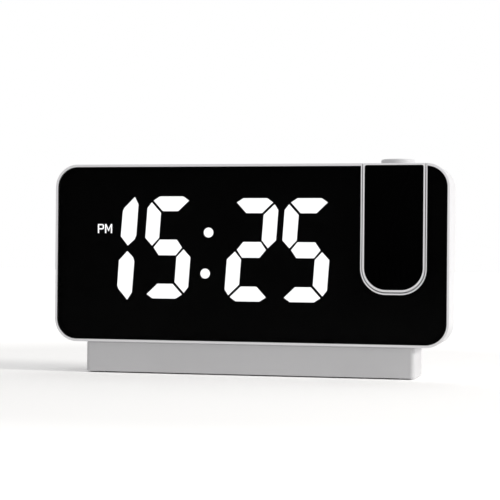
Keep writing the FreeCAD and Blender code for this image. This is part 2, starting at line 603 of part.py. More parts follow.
def rear_cover():
    """White rear shell with its bosses, key holes, grille, sockets and battery door seat."""
    cover = case_block().common(
        block(-CASE_W, CASE_W, PARTING_D, CASE_D + BEYOND, 0.0, 2.0 * CASE_TOP_Z))
    cover = cover.makeChamfer(SEAM, edges_at_depth(cover, PARTING_D))
    cover = cover.cut(front_prism(case_outline(WALL), PARTING_D - BEYOND, REAR_IN_D))
    low_z = BASE_TOP_Z + WALL
    added = lips() + snooze_shelf()
    holes = grille_slots() + [port_mouth(USB_OUT, USB_OUT_X), port_mouth(USB_IN, USB_IN_X)]
    for x, z in case_screw_places():
        added.append(rod_back(x, z, CASE_BOSS_R, PARTING_D, REAR_IN_D))
        holes.append(rod_back(x, z, SCREW_R + FIT_GAP, 0.0, CASE_D))
        holes.append(rod_back(x, z, SCREW_HEAD_R + SCREW_GAP, CASE_SCREW_SEAT_D,
                              CASE_D + BEYOND))
    for x, z in MAIN_POSTS:
        added.append(rod_back(x, z, POST_R, MAIN_BOARD_D + BOARD_T, REAR_IN_D))
        holes.append(rod_back(x, z, PILOT_R + FIT_GAP, MAIN_BOARD_D, REAR_IN_D - BEYOND))
    for x in PORT_POST_X:
        added.append(rod_up(x, (PORT_BOARD_D + REAR_IN_D) / 2.0, POST_R, low_z, PORT_BOARD_Z))
    for side in (-1, 1):
        x = side * STAND_SCREW_X
        added.append(rod_up(x, STAND_SCREW_D, STAND_BOSS_R, low_z, low_z + STAND_BOSS_H))
        holes.append(rod_up(x, STAND_SCREW_D, SCREW_R + FIT_GAP, 0.0,
                            low_z + STAND_BOSS_H - BEYOND))
    added.append(rod_back(BUZZER_X, BUZZER_Z, BUZZER_R + FIT_GAP + BUZZER_RING_T,
                          REAR_IN_D - BUZZER_T / 2.0, REAR_IN_D))
    holes.append(rod_back(BUZZER_X, BUZZER_Z, BUZZER_R + FIT_GAP,
                          REAR_IN_D - BUZZER_T, REAR_IN_D))
    added.append(rod_back(BATTERY_X, DOOR_EAR_Z, POST_R, REAR_IN_D - SCREW_BITE, REAR_IN_D))
    holes.append(rod_back(BATTERY_X, DOOR_EAR_Z, PILOT_R + FIT_GAP,
                          REAR_IN_D - SCREW_BITE + BEYOND, CASE_D))
    holes.append(door_solid(DOOR_GAP, CASE_D - DOOR_T, CASE_D + BEYOND))
    holes.append(rod_back(BATTERY_X, BATTERY_Z, CELL_BATTERY_R + FIT_GAP,
                          REAR_IN_D - BEYOND, CASE_D))
    for x, z in key_places():
        hole = oval(KEY_W + 2.0 * KEY_GAP, KEY_H + 2.0 * KEY_GAP, x, z)
        holes.append(front_prism(hole, REAR_IN_D - BEYOND, CASE_D + BEYOND))
    holes.append(rod_up(BUTTON_X, BUTTON_D, BUTTON_R + BUTTON_GAP,
                        CASE_TOP_Z - WALL - FIT_GAP, CASE_TOP_Z + BEYOND))
    return fuse_all(cover, added).cut(holes)


def projector_well():
    """White U-shaped well that takes the closed arm and carries its hinge."""
    inner = ARM_RIM + WELL_GAP
    low = BASE_TOP_Z
    lip_z = CASE_TOP_Z - WALL - WELL_LIP_GAP
    back = WELL_D + WELL_BACK
    wall_d = AXIS_INSET + SWEEP_R
    outer_d = wall_d + WELL_CURVE_T
    slope = WELL_BACK * math.sqrt(2.0)
    inner_neck_z = NECK_Z - SWEEP_GAP
    inner_shoulder_z = inner_neck_z - (WELL_D - wall_d)
    body = front_prism(arm_outline(inner + WELL_WALL, CASE_TOP_Z), WINDOW_BACK_D, back)
    reach = [(0.0, low, 0.0), (0.0, CASE_TOP_Z, 0.0), (PARTING_D - FIT_GAP, CASE_TOP_Z, 0.0),
             (PARTING_D - FIT_GAP, lip_z, 0.0), (outer_d, lip_z, 0.0),
             (outer_d, inner_neck_z + wall_d + slope - outer_d, 0.0),
             (back, inner_shoulder_z + WELL_D + slope - back, 0.0), (back, low, 0.0)]
    half = WELL_HALF + BEYOND
    body = body.common(side_prism(reach, ARM_X - half, ARM_X + half))
    rim = front_prism(arm_outline(inner + WELL_RIM - FIT_GAP, CASE_TOP_Z), 0.0, WINDOW_BACK_D)
    hollow = front_prism(arm_outline(inner, CASE_TOP_Z + 2.0 * SWEEP_R), -BEYOND, WELL_D)
    swing_top = AXIS_Z + SWEEP_R
    swing = [(-BEYOND, low, 0.0), (-BEYOND, swing_top, 0.0), (wall_d, swing_top, SWEEP_R - HAIR),
             (wall_d, inner_neck_z, WALL), (WELL_D, inner_shoulder_z, WALL), (WELL_D, low, 0.0)]
    hollow = hollow.common(side_prism(swing, ARM_X - half, ARM_X + half))
    bore = rod_across(ARM_X - half, ARM_X + half, AXIS_INSET, AXIS_Z, PIN_R + PIN_RUN_GAP)
    return body.fuse(rim).removeSplitter().cut([hollow, bore])


def display_window():
    """Dark mirror plate, cut out round the projector well."""
    plate = front_prism(case_outline(BEZEL + WINDOW_GAP), WINDOW_RECESS, WINDOW_BACK_D)
    mouth = arm_outline(ARM_RIM + WELL_GAP + WELL_RIM, CASE_TOP_Z + BEYOND)
    return plate.cut(front_prism(mouth, 0.0, WINDOW_BACK_D + BEYOND))


# Display

def segment_corners():
    """Upright outlines of the seven segments about the middle of a digit."""
    half_w, half_h = DIGIT_W / 2.0, DIGIT_H / 2.0
    in_w, in_h = half_w - SIDE_T, half_h - BAR_T
    mid_w = half_w - SIDE_T / 2.0
    gap = SEGMENT_GAP / math.sqrt(2.0)
    point = BAR_T / 2.0
    shoulder = (half_w - SHOULDER[0], half_h - SHOULDER[1])
    bulge = (shoulder[0] + SHOULDER_BULGE[0], half_h - SHOULDER_BULGE[1])
    top = [(in_w - gap / 2.0, in_h + gap / 2.0), (bulge[0] - gap / 2.0, bulge[1] + gap / 2.0),
           (shoulder[0], half_h)]
    level = [(x, z) for x, z in top] + [(-x, z) for x, z in reversed(top)]
    side = [(in_w + gap / 2.0, in_h - gap / 2.0), (in_w + gap / 2.0, point + gap),
            (mid_w, gap), (half_w, point + gap), (half_w, shoulder[1]),
            (bulge[0] + gap / 2.0, bulge[1] - gap / 2.0)]
    middle = [(mid_w - gap, 0.0), (in_w, point), (-in_w, point),
              (gap - mid_w, 0.0), (-in_w, -point), (in_w, -point)]
    return {"a": level,
            "b": side,
            "c": [(x, -z) for x, z in side],
            "d": [(x, -z) for x, z in level],
            "e": [(-x, -z) for x, z in side],
            "f": [(-x, z) for x, z in side],
            "g": middle}


def placed_segments():
    """Each segment of the display: its slanted outline and whether it is lit."""
    shapes = segment_corners()
    found = []
    for index, centre in enumerate(DIGIT_CENTRES):
        for name in (FIRST_DIGIT if index == 0 else "abcdefg"):
            corners = [(centre + x + SLANT * z, DIGIT_Z + z) for x, z in shapes[name]]
            found.append((corners, name in LIT[index]))
    return found


def polygon_wire(corners, depth):
    """Closed straight-sided wire at one depth."""
    points = [Vector(x, at_depth(depth), z) for x, z in corners]
    return Part.makePolygon(points + points[:1])


def drawn_in(corners, share):
    """Outline scaled about the mean of its corners."""
    mean_x = sum(x for x, _ in corners) / len(corners)
    mean_z = sum(z for _, z in corners) / len(corners)
    return [(mean_x + (x - mean_x) * share, mean_z + (z - mean_z) * share) for x, z in corners]


def grown(corners, by):
    """Outline scaled about its middle so that its longer side grows by twice the given size."""
    xs, zs = [x for x, _ in corners], [z for _, z in corners]
    return drawn_in(corners, 1.0 + 2.0 * by / min(max(xs) - min(xs), max(zs) - min(zs)))


def letter_corners():
    """Outline of the small window for the afternoon sign."""
    left, right = [DIGIT_CENTRES[0] + x for x in LETTER_WINDOW[:2]]
    low, high = [DIGIT_Z + z for z in LETTER_WINDOW[2:]]
    return [(left, low), (right, low), (right, high), (left, high)]


def diffusers(lit):
    """Diffusers of the lit or of the dark segments."""
    front, back = reflector_depths()
    wanted = [corners for corners, is_lit in placed_segments() if is_lit == lit]
    if lit:
        wanted.append(letter_corners())
    solids = []
    for corners in wanted:
        face = Part.Face(polygon_wire(grown(corners, -DIFFUSER_GAP), front))
        solids.append(face.extrude(Vector(0, DIFFUSER_T, 0)))
    if lit:
        solids += [rod_back(x, z, COLON_R - DIFFUSER_GAP, front, front + DIFFUSER_T)
                   for x, z in COLON_DOTS]
    return Part.makeCompound(solids)


def reflector_depths():
    """Front and rear of the reflector block."""
    return WINDOW_BACK_D + FIT_GAP, DISPLAY_BOARD_D - FIT_GAP


def segment_reflector():
    """Moulded block with one funnel for each segment, narrowing from diffuser to lamp."""
    front, back = reflector_depths()
    left, right, low, high = REFLECTOR
    body = block(left, right, front, back, low, high)
    seat = front + DIFFUSER_T
    cuts = []
    for corners in [c for c, _ in placed_segments()] + [letter_corners()]:
        mouth = Part.Face(polygon_wire(corners, front))
        cuts.append(mouth.extrude(Vector(0, DIFFUSER_T, 0)))
        rings = [polygon_wire(drawn_in(corners, 1.0 - CAVITY_LEDGE), seat),
                 polygon_wire(drawn_in(corners, CAVITY_SHRINK), back)]
        cuts.append(Part.makeLoft(rings, True, True))
    for x, z in COLON_DOTS:
        cuts.append(rod_back(x, z, COLON_R, front, seat))
        cuts.append(Part.makeCone(*COLON_CAVITY, back - seat, Vector(x, at_depth(seat), z),
                                  Vector(0, 1, 0)))
    return body.cut(cuts)


def led_chips():
    """One lamp behind each segment, on the display board."""
    width, height, thick = LED_CHIP
    back = DISPLAY_BOARD_D
    solids = []
    middles = []
    for corners in [c for c, _ in placed_segments()] + [letter_corners()]:
        middles.append((sum(x for x, _ in corners) / len(corners),
                        sum(z for _, z in corners) / len(corners)))
    for x, z in middles + list(COLON_DOTS):
        solids.append(block(x - width / 2.0, x + width / 2.0, back - thick, back,
                            z - height / 2.0, z + height / 2.0))
    return Part.makeCompound(solids)


def display_board():
    """Circuit board that carries the display lamps and clamps the reflector."""
    left, right, low, high = DISPLAY_BOARD
    board = block(left, right, DISPLAY_BOARD_D, DISPLAY_BOARD_D + BOARD_T, low, high)
    holes = [rod_back(x, z, PILOT_R + SCREW_GAP, DISPLAY_BOARD_D - BEYOND,
                      DISPLAY_BOARD_D + BOARD_T + BEYOND) for x, z in DISPLAY_SCREWS]
    return board.cut(holes)


def display_screws():
    """Screws that hold the display board to the frame."""
    seat = DISPLAY_BOARD_D + BOARD_T
    return Part.makeCompound([screw_back(x, z, PILOT_R, SCREW_HEAD_R, seat, seat - SCREW_BITE)
                              for x, z in DISPLAY_SCREWS])


# Electronics behind the display

def main_board():
    """Circuit board that carries the key switches, the battery holder and the chips."""
    left, right, low, high = MAIN_BOARD
    board = block(left, right, MAIN_BOARD_D, MAIN_BOARD_D + BOARD_T, low, high)
    holes = [rod_back(x, z, PILOT_R + SCREW_GAP, MAIN_BOARD_D - BEYOND,
                      MAIN_BOARD_D + BOARD_T + BEYOND) for x, z in MAIN_POSTS]
    return board.cut(holes)


def main_screws():
    """Screws that hold the main board to the posts of the rear cover, driven from the front."""
    solids = []
    for x, z in MAIN_POSTS:
        head = rod_back(x, z, SCREW_HEAD_R, MAIN_BOARD_D - SCREW_HEAD_T, MAIN_BOARD_D)
        shank = rod_back(x, z, PILOT_R, MAIN_BOARD_D, MAIN_BOARD_D + BOARD_T + SCREW_BITE)
        solids.append(head.fuse(shank))
    return Part.makeCompound(solids)


def board_header():
    """Plug and socket that join the two boards."""
    left, right, low, high = HEADER
    return block(left, right, DISPLAY_BOARD_D + BOARD_T, MAIN_BOARD_D, CASE_MID_Z + low,
                 CASE_MID_Z + high)


def board_chips():
    """Controller, driver, memory and regulator on the front of the main board."""
    left, right, low, high = MAIN_BOARD
    z = (low + high) / 2.0
    solids = []
    for share, width, height, thick in BOARD_CHIPS:
        x = left + share * (right - left)
        solids.append(block(x - width / 2.0, x + width / 2.0, MAIN_BOARD_D - thick, MAIN_BOARD_D,
                            z - height / 2.0, z + height / 2.0))
    return Part.makeCompound(solids)


def key_switches():
    """Switches behind the rear keys, on the main board."""
    face = MAIN_BOARD_D + BOARD_T
    solids = []
    for x, z in key_places():
        body = block(x - SWITCH / 2.0, x + SWITCH / 2.0, face, face + SWITCH_H,
                     z - SWITCH / 2.0, z + SWITCH / 2.0)
        bore = rod_back(x, z, STEM_R + STEM_GAP, face + SWITCH_H - 2.0 * KEY_TRAVEL - STEM_GAP,
                        face + SWITCH_H + BEYOND)
        solids.append(body.cut(bore))
    return Part.makeCompound(solids)


def rear_key(x, z):
    """One oval key with its flange and stem."""
    flange_back = REAR_IN_D - FIT_GAP
    cap = front_prism(oval(KEY_W, KEY_H, x, z), flange_back - KEY_FLANGE, CASE_D + KEY_PROUD)
    cap = cap.makeFillet(KEY_EDGE_R, edges_at_depth(cap, CASE_D + KEY_PROUD))
    flange = front_prism(oval(KEY_W + 2.0 * KEY_FLANGE, KEY_H + 2.0 * KEY_FLANGE, x, z),
                         flange_back - KEY_FLANGE, flange_back)
    switch_face = MAIN_BOARD_D + BOARD_T + SWITCH_H
    stem = rod_back(x, z, STEM_R, switch_face - KEY_TRAVEL, flange_back - KEY_FLANGE)
    return fuse_all(cap, [flange, stem])


def snooze_board():
    """Small board on the shelf under the snooze button."""
    z = snooze_board_z()
    half = SWITCH + 2.0 * WALL
    return block(BUTTON_X - half, BUTTON_X + half, BUTTON_D - SWITCH / 2.0 - BEYOND,
                 REAR_IN_D - FIT_GAP, z, z + PORT_BOARD_T)


def snooze_switch():
    """Switch under the snooze button."""
    base = snooze_board_z() + PORT_BOARD_T
    half = SWITCH / 2.0
    body = block(BUTTON_X - half, BUTTON_X + half, BUTTON_D - half, BUTTON_D + half,
                 base, base + SWITCH_H)
    bore = rod_up(BUTTON_X, BUTTON_D, STEM_R + STEM_GAP,
                  base + SWITCH_H - 2.0 * BUTTON_TRAVEL - STEM_GAP, base + SWITCH_H + BEYOND)
    return body.cut(bore)


def snooze_button():
    """Round hollow cap with two ears and a stem that reaches the switch."""
    top = CASE_TOP_Z + BUTTON_PROUD
    low = button_bottom_z()
    cap = rod_up(BUTTON_X, BUTTON_D, BUTTON_R, low, top)
    cap = cap.makeFillet(BUTTON_EDGE_R, edges_at_height(cap, top))
    hollow = rod_up(BUTTON_X, BUTTON_D, BUTTON_R - BUTTON_WALL, low - BEYOND, top - BUTTON_WALL)
    reach = BUTTON_R + BUTTON_EAR
    ears = [block(BUTTON_X + side * (BUTTON_R - BUTTON_WALL / 2.0 + reach) / 2.0 - BUTTON_WALL,
                  BUTTON_X + side * (BUTTON_R - BUTTON_WALL / 2.0 + reach) / 2.0 + BUTTON_WALL / 2.0,
                  BUTTON_D - BUTTON_EAR_HALF, BUTTON_D + BUTTON_EAR_HALF,
                  low, CASE_TOP_Z - WALL - FIT_GAP * 2.0) for side in (-1, 1)]
    switch_top = snooze_board_z() + PORT_BOARD_T + SWITCH_H
    stem = rod_up(BUTTON_X, BUTTON_D, STEM_R, switch_top - BUTTON_TRAVEL, top - BUTTON_WALL / 2.0)
    return fuse_all(cap.cut(hollow), ears + [stem])


def buzzer():
    """Round sounder behind the grille."""
    can = rod_back(BUZZER_X, BUZZER_Z, BUZZER_R, REAR_IN_D - BUZZER_T, REAR_IN_D - FIT_GAP)
    return can.makeFillet(BUZZER_RING_T / 2.0, edges_at_depth(can, REAR_IN_D - BUZZER_T))


def battery_depths():
    """Front and rear faces of the coin cell."""
    front = MAIN_BOARD_D + BOARD_T + HOLDER_FLOOR
    return front, front + CELL_BATTERY_T


def coin_cell():
    """Back-up cell: a stepped disc."""
    front, back = battery_depths()
    can = rod_back(BATTERY_X, BATTERY_Z, CELL_BATTERY_R, front + HOLDER_FLOOR, back)
    nose = rod_back(BATTERY_X, BATTERY_Z, CELL_BATTERY_R - HOLDER_WALL, front,
                    front + HOLDER_FLOOR)
    return can.fuse(nose)


def cell_holder():
    """Round tray for the coin cell, on the main board."""
    front, back = battery_depths()
    tray = rod_back(BATTERY_X, BATTERY_Z, CELL_BATTERY_R + FIT_GAP + HOLDER_WALL,
                    MAIN_BOARD_D + BOARD_T, back)
    return tray.cut(rod_back(BATTERY_X, BATTERY_Z, CELL_BATTERY_R + FIT_GAP, front,
                             back + BEYOND))


def cell_door():
    """Door over the coin cell, with a pad that presses on it and a screw ear."""
    plate = door_solid(0.0, CASE_D - DOOR_T + FIT_GAP, CASE_D)
    pad = rod_back(BATTERY_X, BATTERY_Z, CELL_BATTERY_R - HOLDER_WALL,
                   battery_depths()[1] + FIT_GAP, CASE_D - DOOR_T + FIT_GAP)
    core = rod_back(BATTERY_X, BATTERY_Z, CELL_BATTERY_R - 2.0 * HOLDER_WALL,
                    battery_depths()[1], CASE_D - DOOR_T)
    hole = rod_back(BATTERY_X, DOOR_EAR_Z, PILOT_R + SCREW_GAP,
                    CASE_D - DOOR_T - BEYOND, CASE_D + BEYOND)
    return fuse_all(plate, [pad]).cut([core, hole])


def door_screw():
    """Screw that keeps the battery door shut."""
    return screw_back(BATTERY_X, DOOR_EAR_Z, PILOT_R, SCREW_HEAD_R, CASE_D,
                      REAR_IN_D - SCREW_BITE + BEYOND + FIT_GAP)


def port_board():
    """Board along the bottom of the rear cover, under the two sockets."""
    left, right = PORT_BOARD
    return block(left, right, PORT_BOARD_D, REAR_IN_D - FIT_GAP, PORT_BOARD_Z,
                 PORT_BOARD_Z + PORT_BOARD_T)


def socket(size, x, corner, tongue_place):
    """Sheet-metal socket with its contact tongue, mouth flush with the rear of the case."""
    width, height, depth = size
    tongue_t, tongue_low = tongue_place
    low = PORT_BOARD_Z + PORT_BOARD_T
    front, back = CASE_D - depth, CASE_D
    outside = rectangle(width, height, corner, x, low + height / 2.0)
    inside = rectangle(width - 2.0 * SHELL_T, height - 2.0 * SHELL_T, corner - SHELL_T,
                       x, low + height / 2.0)
    shell = front_prism(outside, front, back)
    shell = shell.cut(front_prism(inside, front + SOCKET_BACK_T, back + BEYOND))
    half = width * TONGUE_SHARE / 2.0
    tongue = block(x - half, x + half, front, back - BEYOND,
                   low + tongue_low, low + tongue_low + tongue_t)
    return shell.fuse(tongue).removeSplitter()


def usb_outlet():
    """Wide socket that charges another device."""
    return socket(USB_OUT, USB_OUT_X, USB_OUT_R, USB_OUT_TONGUE)


def power_inlet():
    """Small oval socket for the supply lead."""
    return socket(USB_IN, USB_IN_X, USB_IN_R, USB_IN_TONGUE)


def case_screws():
    """Screws that join the rear cover to the frame."""
    return Part.makeCompound([screw_back(x, z, SCREW_R, SCREW_HEAD_R, CASE_SCREW_SEAT_D,
                                         PARTING_D - SCREW_BITE + FIT_GAP)
                              for x, z in case_screw_places()])


# Base

def base_corners(inset):
    """Outline of the base from above, drawn in by inset."""
    half = BASE_W / 2.0 - inset
    front, back = at_depth(BASE_INSET + inset), at_depth(DEPTH - inset)
    radius = max(BASE_CORNER_R - inset, 0.0)
    return [(-half, front, radius), (half, front, radius), (half, back, radius),
            (-half, back, radius)]


def cover_screw_places():
    """X and depth of the screws in the base cover."""
    return [(side * COVER_SCREW_X, depth) for side in (-1, 1)
            for depth in (BASE_INSET + COVER_SCREW_INSET, DEPTH - COVER_SCREW_INSET)]


def foot_places():
    """X and depth of the four feet."""
    return [(side * FOOT_X, depth) for side in (-1, 1)
            for depth in (BASE_INSET + FOOT_INSET, DEPTH - FOOT_INSET)]


def base_shell():
    """White base, open below, with bosses for the cover screws."""
    roof_z = BASE_TOP_Z - BASE_WALL
    shell = plan_prism(base_corners(0.0), BASE_LIFT, BASE_TOP_Z)
    shell = shell.makeFillet(BASE_EDGE_R, edges_at_height(shell, BASE_TOP_Z))
    shell = shell.cut(plan_prism(base_corners(BASE_WALL), BASE_LIFT - BEYOND, roof_z))
    bosses = [rod_up(x, depth, BASE_BOSS_R, BASE_LIFT + COVER_T, roof_z)
              for x, depth in cover_screw_places()]
    pilots = [rod_up(x, depth, SCREW_R + FIT_GAP, BASE_LIFT, roof_z - BEYOND)
              for x, depth in cover_screw_places()]
    stand = [rod_up(side * STAND_SCREW_X, STAND_SCREW_D, SCREW_R + SCREW_GAP, roof_z - BEYOND,
                    BASE_TOP_Z + BEYOND) for side in (-1, 1)]
    return fuse_all(shell, bosses).cut(pilots + stand)


def base_cover():
    """Bottom plate of the base, with seats for the feet."""
    plate = plan_prism(base_corners(BASE_WALL + COVER_GAP), BASE_LIFT, BASE_LIFT + COVER_T)
    cuts = [rod_up(x, depth, FOOT_R + FIT_GAP, 0.0, BASE_LIFT + FOOT_SINK)
            for x, depth in foot_places()]
    for x, depth in cover_screw_places():
        cuts.append(rod_up(x, depth, SCREW_R + SCREW_GAP, 0.0, BASE_LIFT + COVER_T + BEYOND))
        cuts.append(rod_up(x, depth, SCREW_HEAD_R + SCREW_GAP, 0.0,
                           BASE_LIFT + COVER_T - COVER_HEAD_T))
    return plate.cut(cuts)


def cover_screws():
    """Screws of the base cover, their heads just inside it."""
    seat = BASE_LIFT + COVER_T - COVER_HEAD_T
    tip = BASE_TOP_Z - BASE_WALL - BEYOND - COVER_SCREW_END
    solids = []
    for x, depth in cover_screw_places():
        head = rod_up(x, depth, SCREW_HEAD_R, seat - COVER_HEAD_T, seat)
        shank = rod_up(x, depth, SCREW_R, seat, tip)
        solids.append(head.fuse(shank))
    return Part.makeCompound(solids)


def rubber_feet():
    """Four round feet, let into the base cover."""
    return Part.makeCompound([rod_up(x, depth, FOOT_R, 0.0, BASE_LIFT + FOOT_SINK)
                              for x, depth in foot_places()])


def ballast_plate():
    """Steel weight on the base cover."""
    depth, height = BALLAST
    half = BASE_W / 2.0 - BALLAST_SIDE
    middle = BASE_INSET + BASE_D / 2.0
    low = BASE_LIFT + COVER_T
    return block(-half, half, middle - depth / 2.0, middle + depth / 2.0, low, low + height)


def stand_screws():
    """Screws that hold the case on the base."""
    seat = BASE_TOP_Z - BASE_WALL
    tip = BASE_TOP_Z + WALL + STAND_BOSS_H - BEYOND - FIT_GAP
    return Part.makeCompound([screw_up(side * STAND_SCREW_X, STAND_SCREW_D, SCREW_R,
                                       STAND_HEAD_R, seat, tip) for side in (-1, 1)])


# Projector arm

def arm_side():
    """Side view (depth, height) of the arm."""
    low = ARM_TIP_Z - BEYOND
    return [(0.0, low, 0.0), (0.0, CASE_TOP_Z, FRONT_EDGE_R),
            (NECK_D, CASE_TOP_Z, AXIS_INSET - HAIR), (NECK_D, NECK_Z, WALL),
            (ARM_T, SHOULDER_Z, WALL), (ARM_T, low, 0.0)]


def arm_block():
    """Outside of the whole arm."""
    half = PANEL_HALF + ARM_RIM + BEYOND
    solid = arm_prism(ARM_RIM, CASE_TOP_Z + BEYOND, 0.0, ARM_T)
    solid = solid.makeFillet(ARM_BACK_R, edges_at_depth(solid, ARM_T))
    return solid.common(side_prism(arm_side(), ARM_X - half, ARM_X + half))


def arm_screw_places():
    """Centres of the screws in the arm cover."""
    return [(ARM_X + side * ARM_SCREW_X, z) for side in (-1, 1) for z in ARM_SCREW_Z]


def wheel_cheeks():
    """Ribs of the arm shell below and above the focus wheel, open for the lens cell."""
    ribs = []
    half = PANEL_HALF
    for low in (WHEEL_Z - WHEEL_GAP - CHEEK_T, WHEEL_Z + WHEEL_T + WHEEL_GAP):
        ribs.append(block(ARM_X - half, ARM_X + half, ARM_IN_D, ARM_COVER_D - FIT_GAP,
                          low, low + CHEEK_T))
    return ribs


def arm_shell():
    """White arm moulding: rim, walls, hinge ears, wheel ribs and screw bosses."""
    top = ARM_COVER_TOP_Z
    shell = arm_block()
    inner = ARM_RIM - ARM_SIDE
    hollow = arm_prism(inner, top - COVER_LEDGE, ARM_IN_D, ARM_T + BEYOND)
    rebate = arm_prism(ARM_RIM - COVER_RIM, top, ARM_COVER_D, ARM_T + BEYOND)
    seat = front_prism(arm_outline(FIT_GAP, CASE_TOP_Z - ARM_TOP_RIM + FIT_GAP, PLATE_TOP_R),
                       -BEYOND, PLATE_BACK_D)
    duct_half = PANEL_HALF - ARM_SIDE - PIN_GRIP
    duct = block(ARM_X - duct_half, ARM_X + duct_half, ARM_IN_D, NECK_D - ARM_SIDE,
                 top - COVER_LEDGE - BEYOND, AXIS_Z + PIN_R)
    shell = shell.cut([hollow, rebate, seat, duct])
    limits = arm_prism(inner, top - COVER_LEDGE, ARM_IN_D - FIT_GAP, ARM_COVER_D)
    ribs = [rib.common(limits) for rib in wheel_cheeks()]
    bosses = [rod_back(x, z, ARM_BOSS_R, PLATE_BACK_D + ARM_SKIN / 2.0, ARM_COVER_D - FIT_GAP)
              for x, z in arm_screw_places()]
    house_ribs = [block(ARM_X - HOUSE_HALF, ARM_X + HOUSE_HALF, ARM_IN_D - FIT_GAP,
                        OPTIC_D - HOUSE_SIDE - FIT_GAP, z, z + CHEEK_T)
                  for z in (HOUSE_Z[0] + WALL, HOUSE_Z[1] - 2.0 * WALL)]
    shell = fuse_all(shell, ribs + bosses + house_ribs)
    half = PANEL_HALF + ARM_RIM + BEYOND
    cuts = [rod_back(x, z, PILOT_R + FIT_GAP, ARM_IN_D + ARM_SKIN, ARM_T) for x, z
            in arm_screw_places()]
    cuts.append(rod_across(ARM_X - half, ARM_X + half, AXIS_INSET, AXIS_Z, PIN_R))
    cuts.append(rod_up(ARM_X, OPTIC_D, PORT_R, ARM_TIP_Z - BEYOND, CELL_REST_Z - CELL_TRAVEL))
    cell_room = CELL_R + WHEEL_GAP
    cuts.append(rod_up(ARM_X, OPTIC_D, cell_room, ARM_TIP_Z + ARM_SIDE * TIP_RATIO,
                       WHEEL_Z + WHEEL_T + WHEEL_GAP + CHEEK_T))
    cuts.append(block(ARM_X - cell_room, ARM_X + cell_room, OPTIC_D, ARM_COVER_D,
                      WHEEL_Z - WHEEL_GAP - CHEEK_T, WHEEL_Z + WHEEL_T + WHEEL_GAP + CHEEK_T))
    cuts.append(rod_up(ARM_X, OPTIC_D, WHEEL_R + WHEEL_GAP, WHEEL_Z - WHEEL_GAP,
                       WHEEL_Z + WHEEL_T + WHEEL_GAP))
    return shell.cut(cuts)


def arm_plate():
    """Mirror plate on the front of the arm."""
    return front_prism(arm_outline(0.0, CASE_TOP_Z - ARM_TOP_RIM, PLATE_TOP_R),
                       WINDOW_RECESS, PLATE_BACK_D)


def arm_cover():
    """Rear cover of the arm, with a slot for the focus wheel."""
    plate = arm_prism(ARM_RIM - COVER_RIM - WINDOW_GAP, ARM_COVER_TOP_Z - WINDOW_GAP,
                      ARM_COVER_D, ARM_T)
    chord = math.sqrt((WHEEL_R + WHEEL_GAP) ** 2 - (ARM_COVER_D - OPTIC_D) ** 2) + WHEEL_GAP
    cuts = [block(ARM_X - chord, ARM_X + chord, ARM_COVER_D - BEYOND, ARM_T + BEYOND,
                  WHEEL_Z - WHEEL_GAP, WHEEL_Z + WHEEL_T + WHEEL_GAP)]
    for x, z in arm_screw_places():
        cuts.append(rod_back(x, z, PILOT_R + SCREW_GAP, ARM_COVER_D - BEYOND, ARM_T + BEYOND))
        cuts.append(rod_back(x, z, ARM_BOSS_R + FIT_GAP, ARM_T - ARM_COVER_T / 2.0,
                             ARM_T + BEYOND))
    return plate.cut(cuts)


def arm_screws():
    """Screws of the arm cover, heads flush."""
    seat = ARM_T - ARM_COVER_T / 2.0
    solids = []
    for x, z in arm_screw_places():
        head = rod_back(x, z, ARM_BOSS_R, seat, ARM_T - FIT_GAP)
        shank = rod_back(x, z, PILOT_R, seat - SCREW_BITE, seat)
        solids.append(head.fuse(shank))
    return Part.makeCompound(solids)


def pin_span(side):
    """Start and end of one hinge pin along X."""
    inside = PANEL_HALF + ARM_RIM - PIN_GRIP
    ends = (ARM_X + side * inside, ARM_X + side * WELL_HALF)
    return min(ends), max(ends)


def hinge_pins():
    """Two hollow pins that the arm turns on; the wires run through them."""
    solids = []
    for side in (-1, 1):
        start, end = pin_span(side)
        pin = rod_across(start, end, AXIS_INSET, AXIS_Z, PIN_R)
        solids.append(pin.cut(rod_across(start - BEYOND, end + BEYOND, AXIS_INSET, AXIS_Z,
                                         PIN_BORE_R)))
    return Part.makeCompound(solids)


def hinge_washers():
    """Friction washers between arm and well."""
    solids = []
    slack = (WELL_GAP - WASHER_T) / 2.0
    for side in (-1, 1):
        near = ARM_X + side * (PANEL_HALF + ARM_RIM + slack)
        far = near + side * WASHER_T
        start, end = min(near, far), max(near, far)
        ring = rod_across(start, end, AXIS_INSET, AXIS_Z, WASHER_R)
        solids.append(ring.cut(rod_across(start - BEYOND, end + BEYOND, AXIS_INSET, AXIS_Z,
                                          PIN_R + FIT_GAP)))
    return Part.makeCompound(solids)


# Optics in the arm

def lamp_house():
    """Black housing: guide tube for the lens cell, slide slot and condenser seat."""
    low, high = HOUSE_Z
    tube_low = WHEEL_Z + WHEEL_T + WHEEL_GAP + CHEEK_T + FIT_GAP
    near, far = OPTIC_D - HOUSE_SIDE, OPTIC_D + HOUSE_SIDE
    body = block(ARM_X - HOUSE_HALF, ARM_X + HOUSE_HALF, near, far, low, high)
    body = body.fuse(rod_up(ARM_X, OPTIC_D, TUBE_R, tube_low, low))
    half = HOUSE_HALF - HOUSE_WALL
    shade_z = LCD_Z + LCD_T + WALL
    cuts = [rod_up(ARM_X, OPTIC_D, CELL_R + FIT_GAP, tube_low - BEYOND, low + HOUSE_WALL),
            block(ARM_X - half, ARM_X + half, near + HOUSE_WALL, far - HOUSE_WALL,
                  low + HOUSE_WALL, shade_z),
            block(ARM_X - half - LCD_SLOT, ARM_X + half + LCD_SLOT,
                  near + HOUSE_WALL - LCD_SLOT, far - HOUSE_WALL + LCD_SLOT,
                  LCD_Z, LCD_Z + LCD_T),
            rod_up(ARM_X, OPTIC_D, CONDENSER_R - LCD_SLOT, shade_z - BEYOND, CONDENSER_Z),
            rod_up(ARM_X, OPTIC_D, CONDENSER_R + FIT_GAP, CONDENSER_Z, high + BEYOND)]
    return body.cut(cuts)


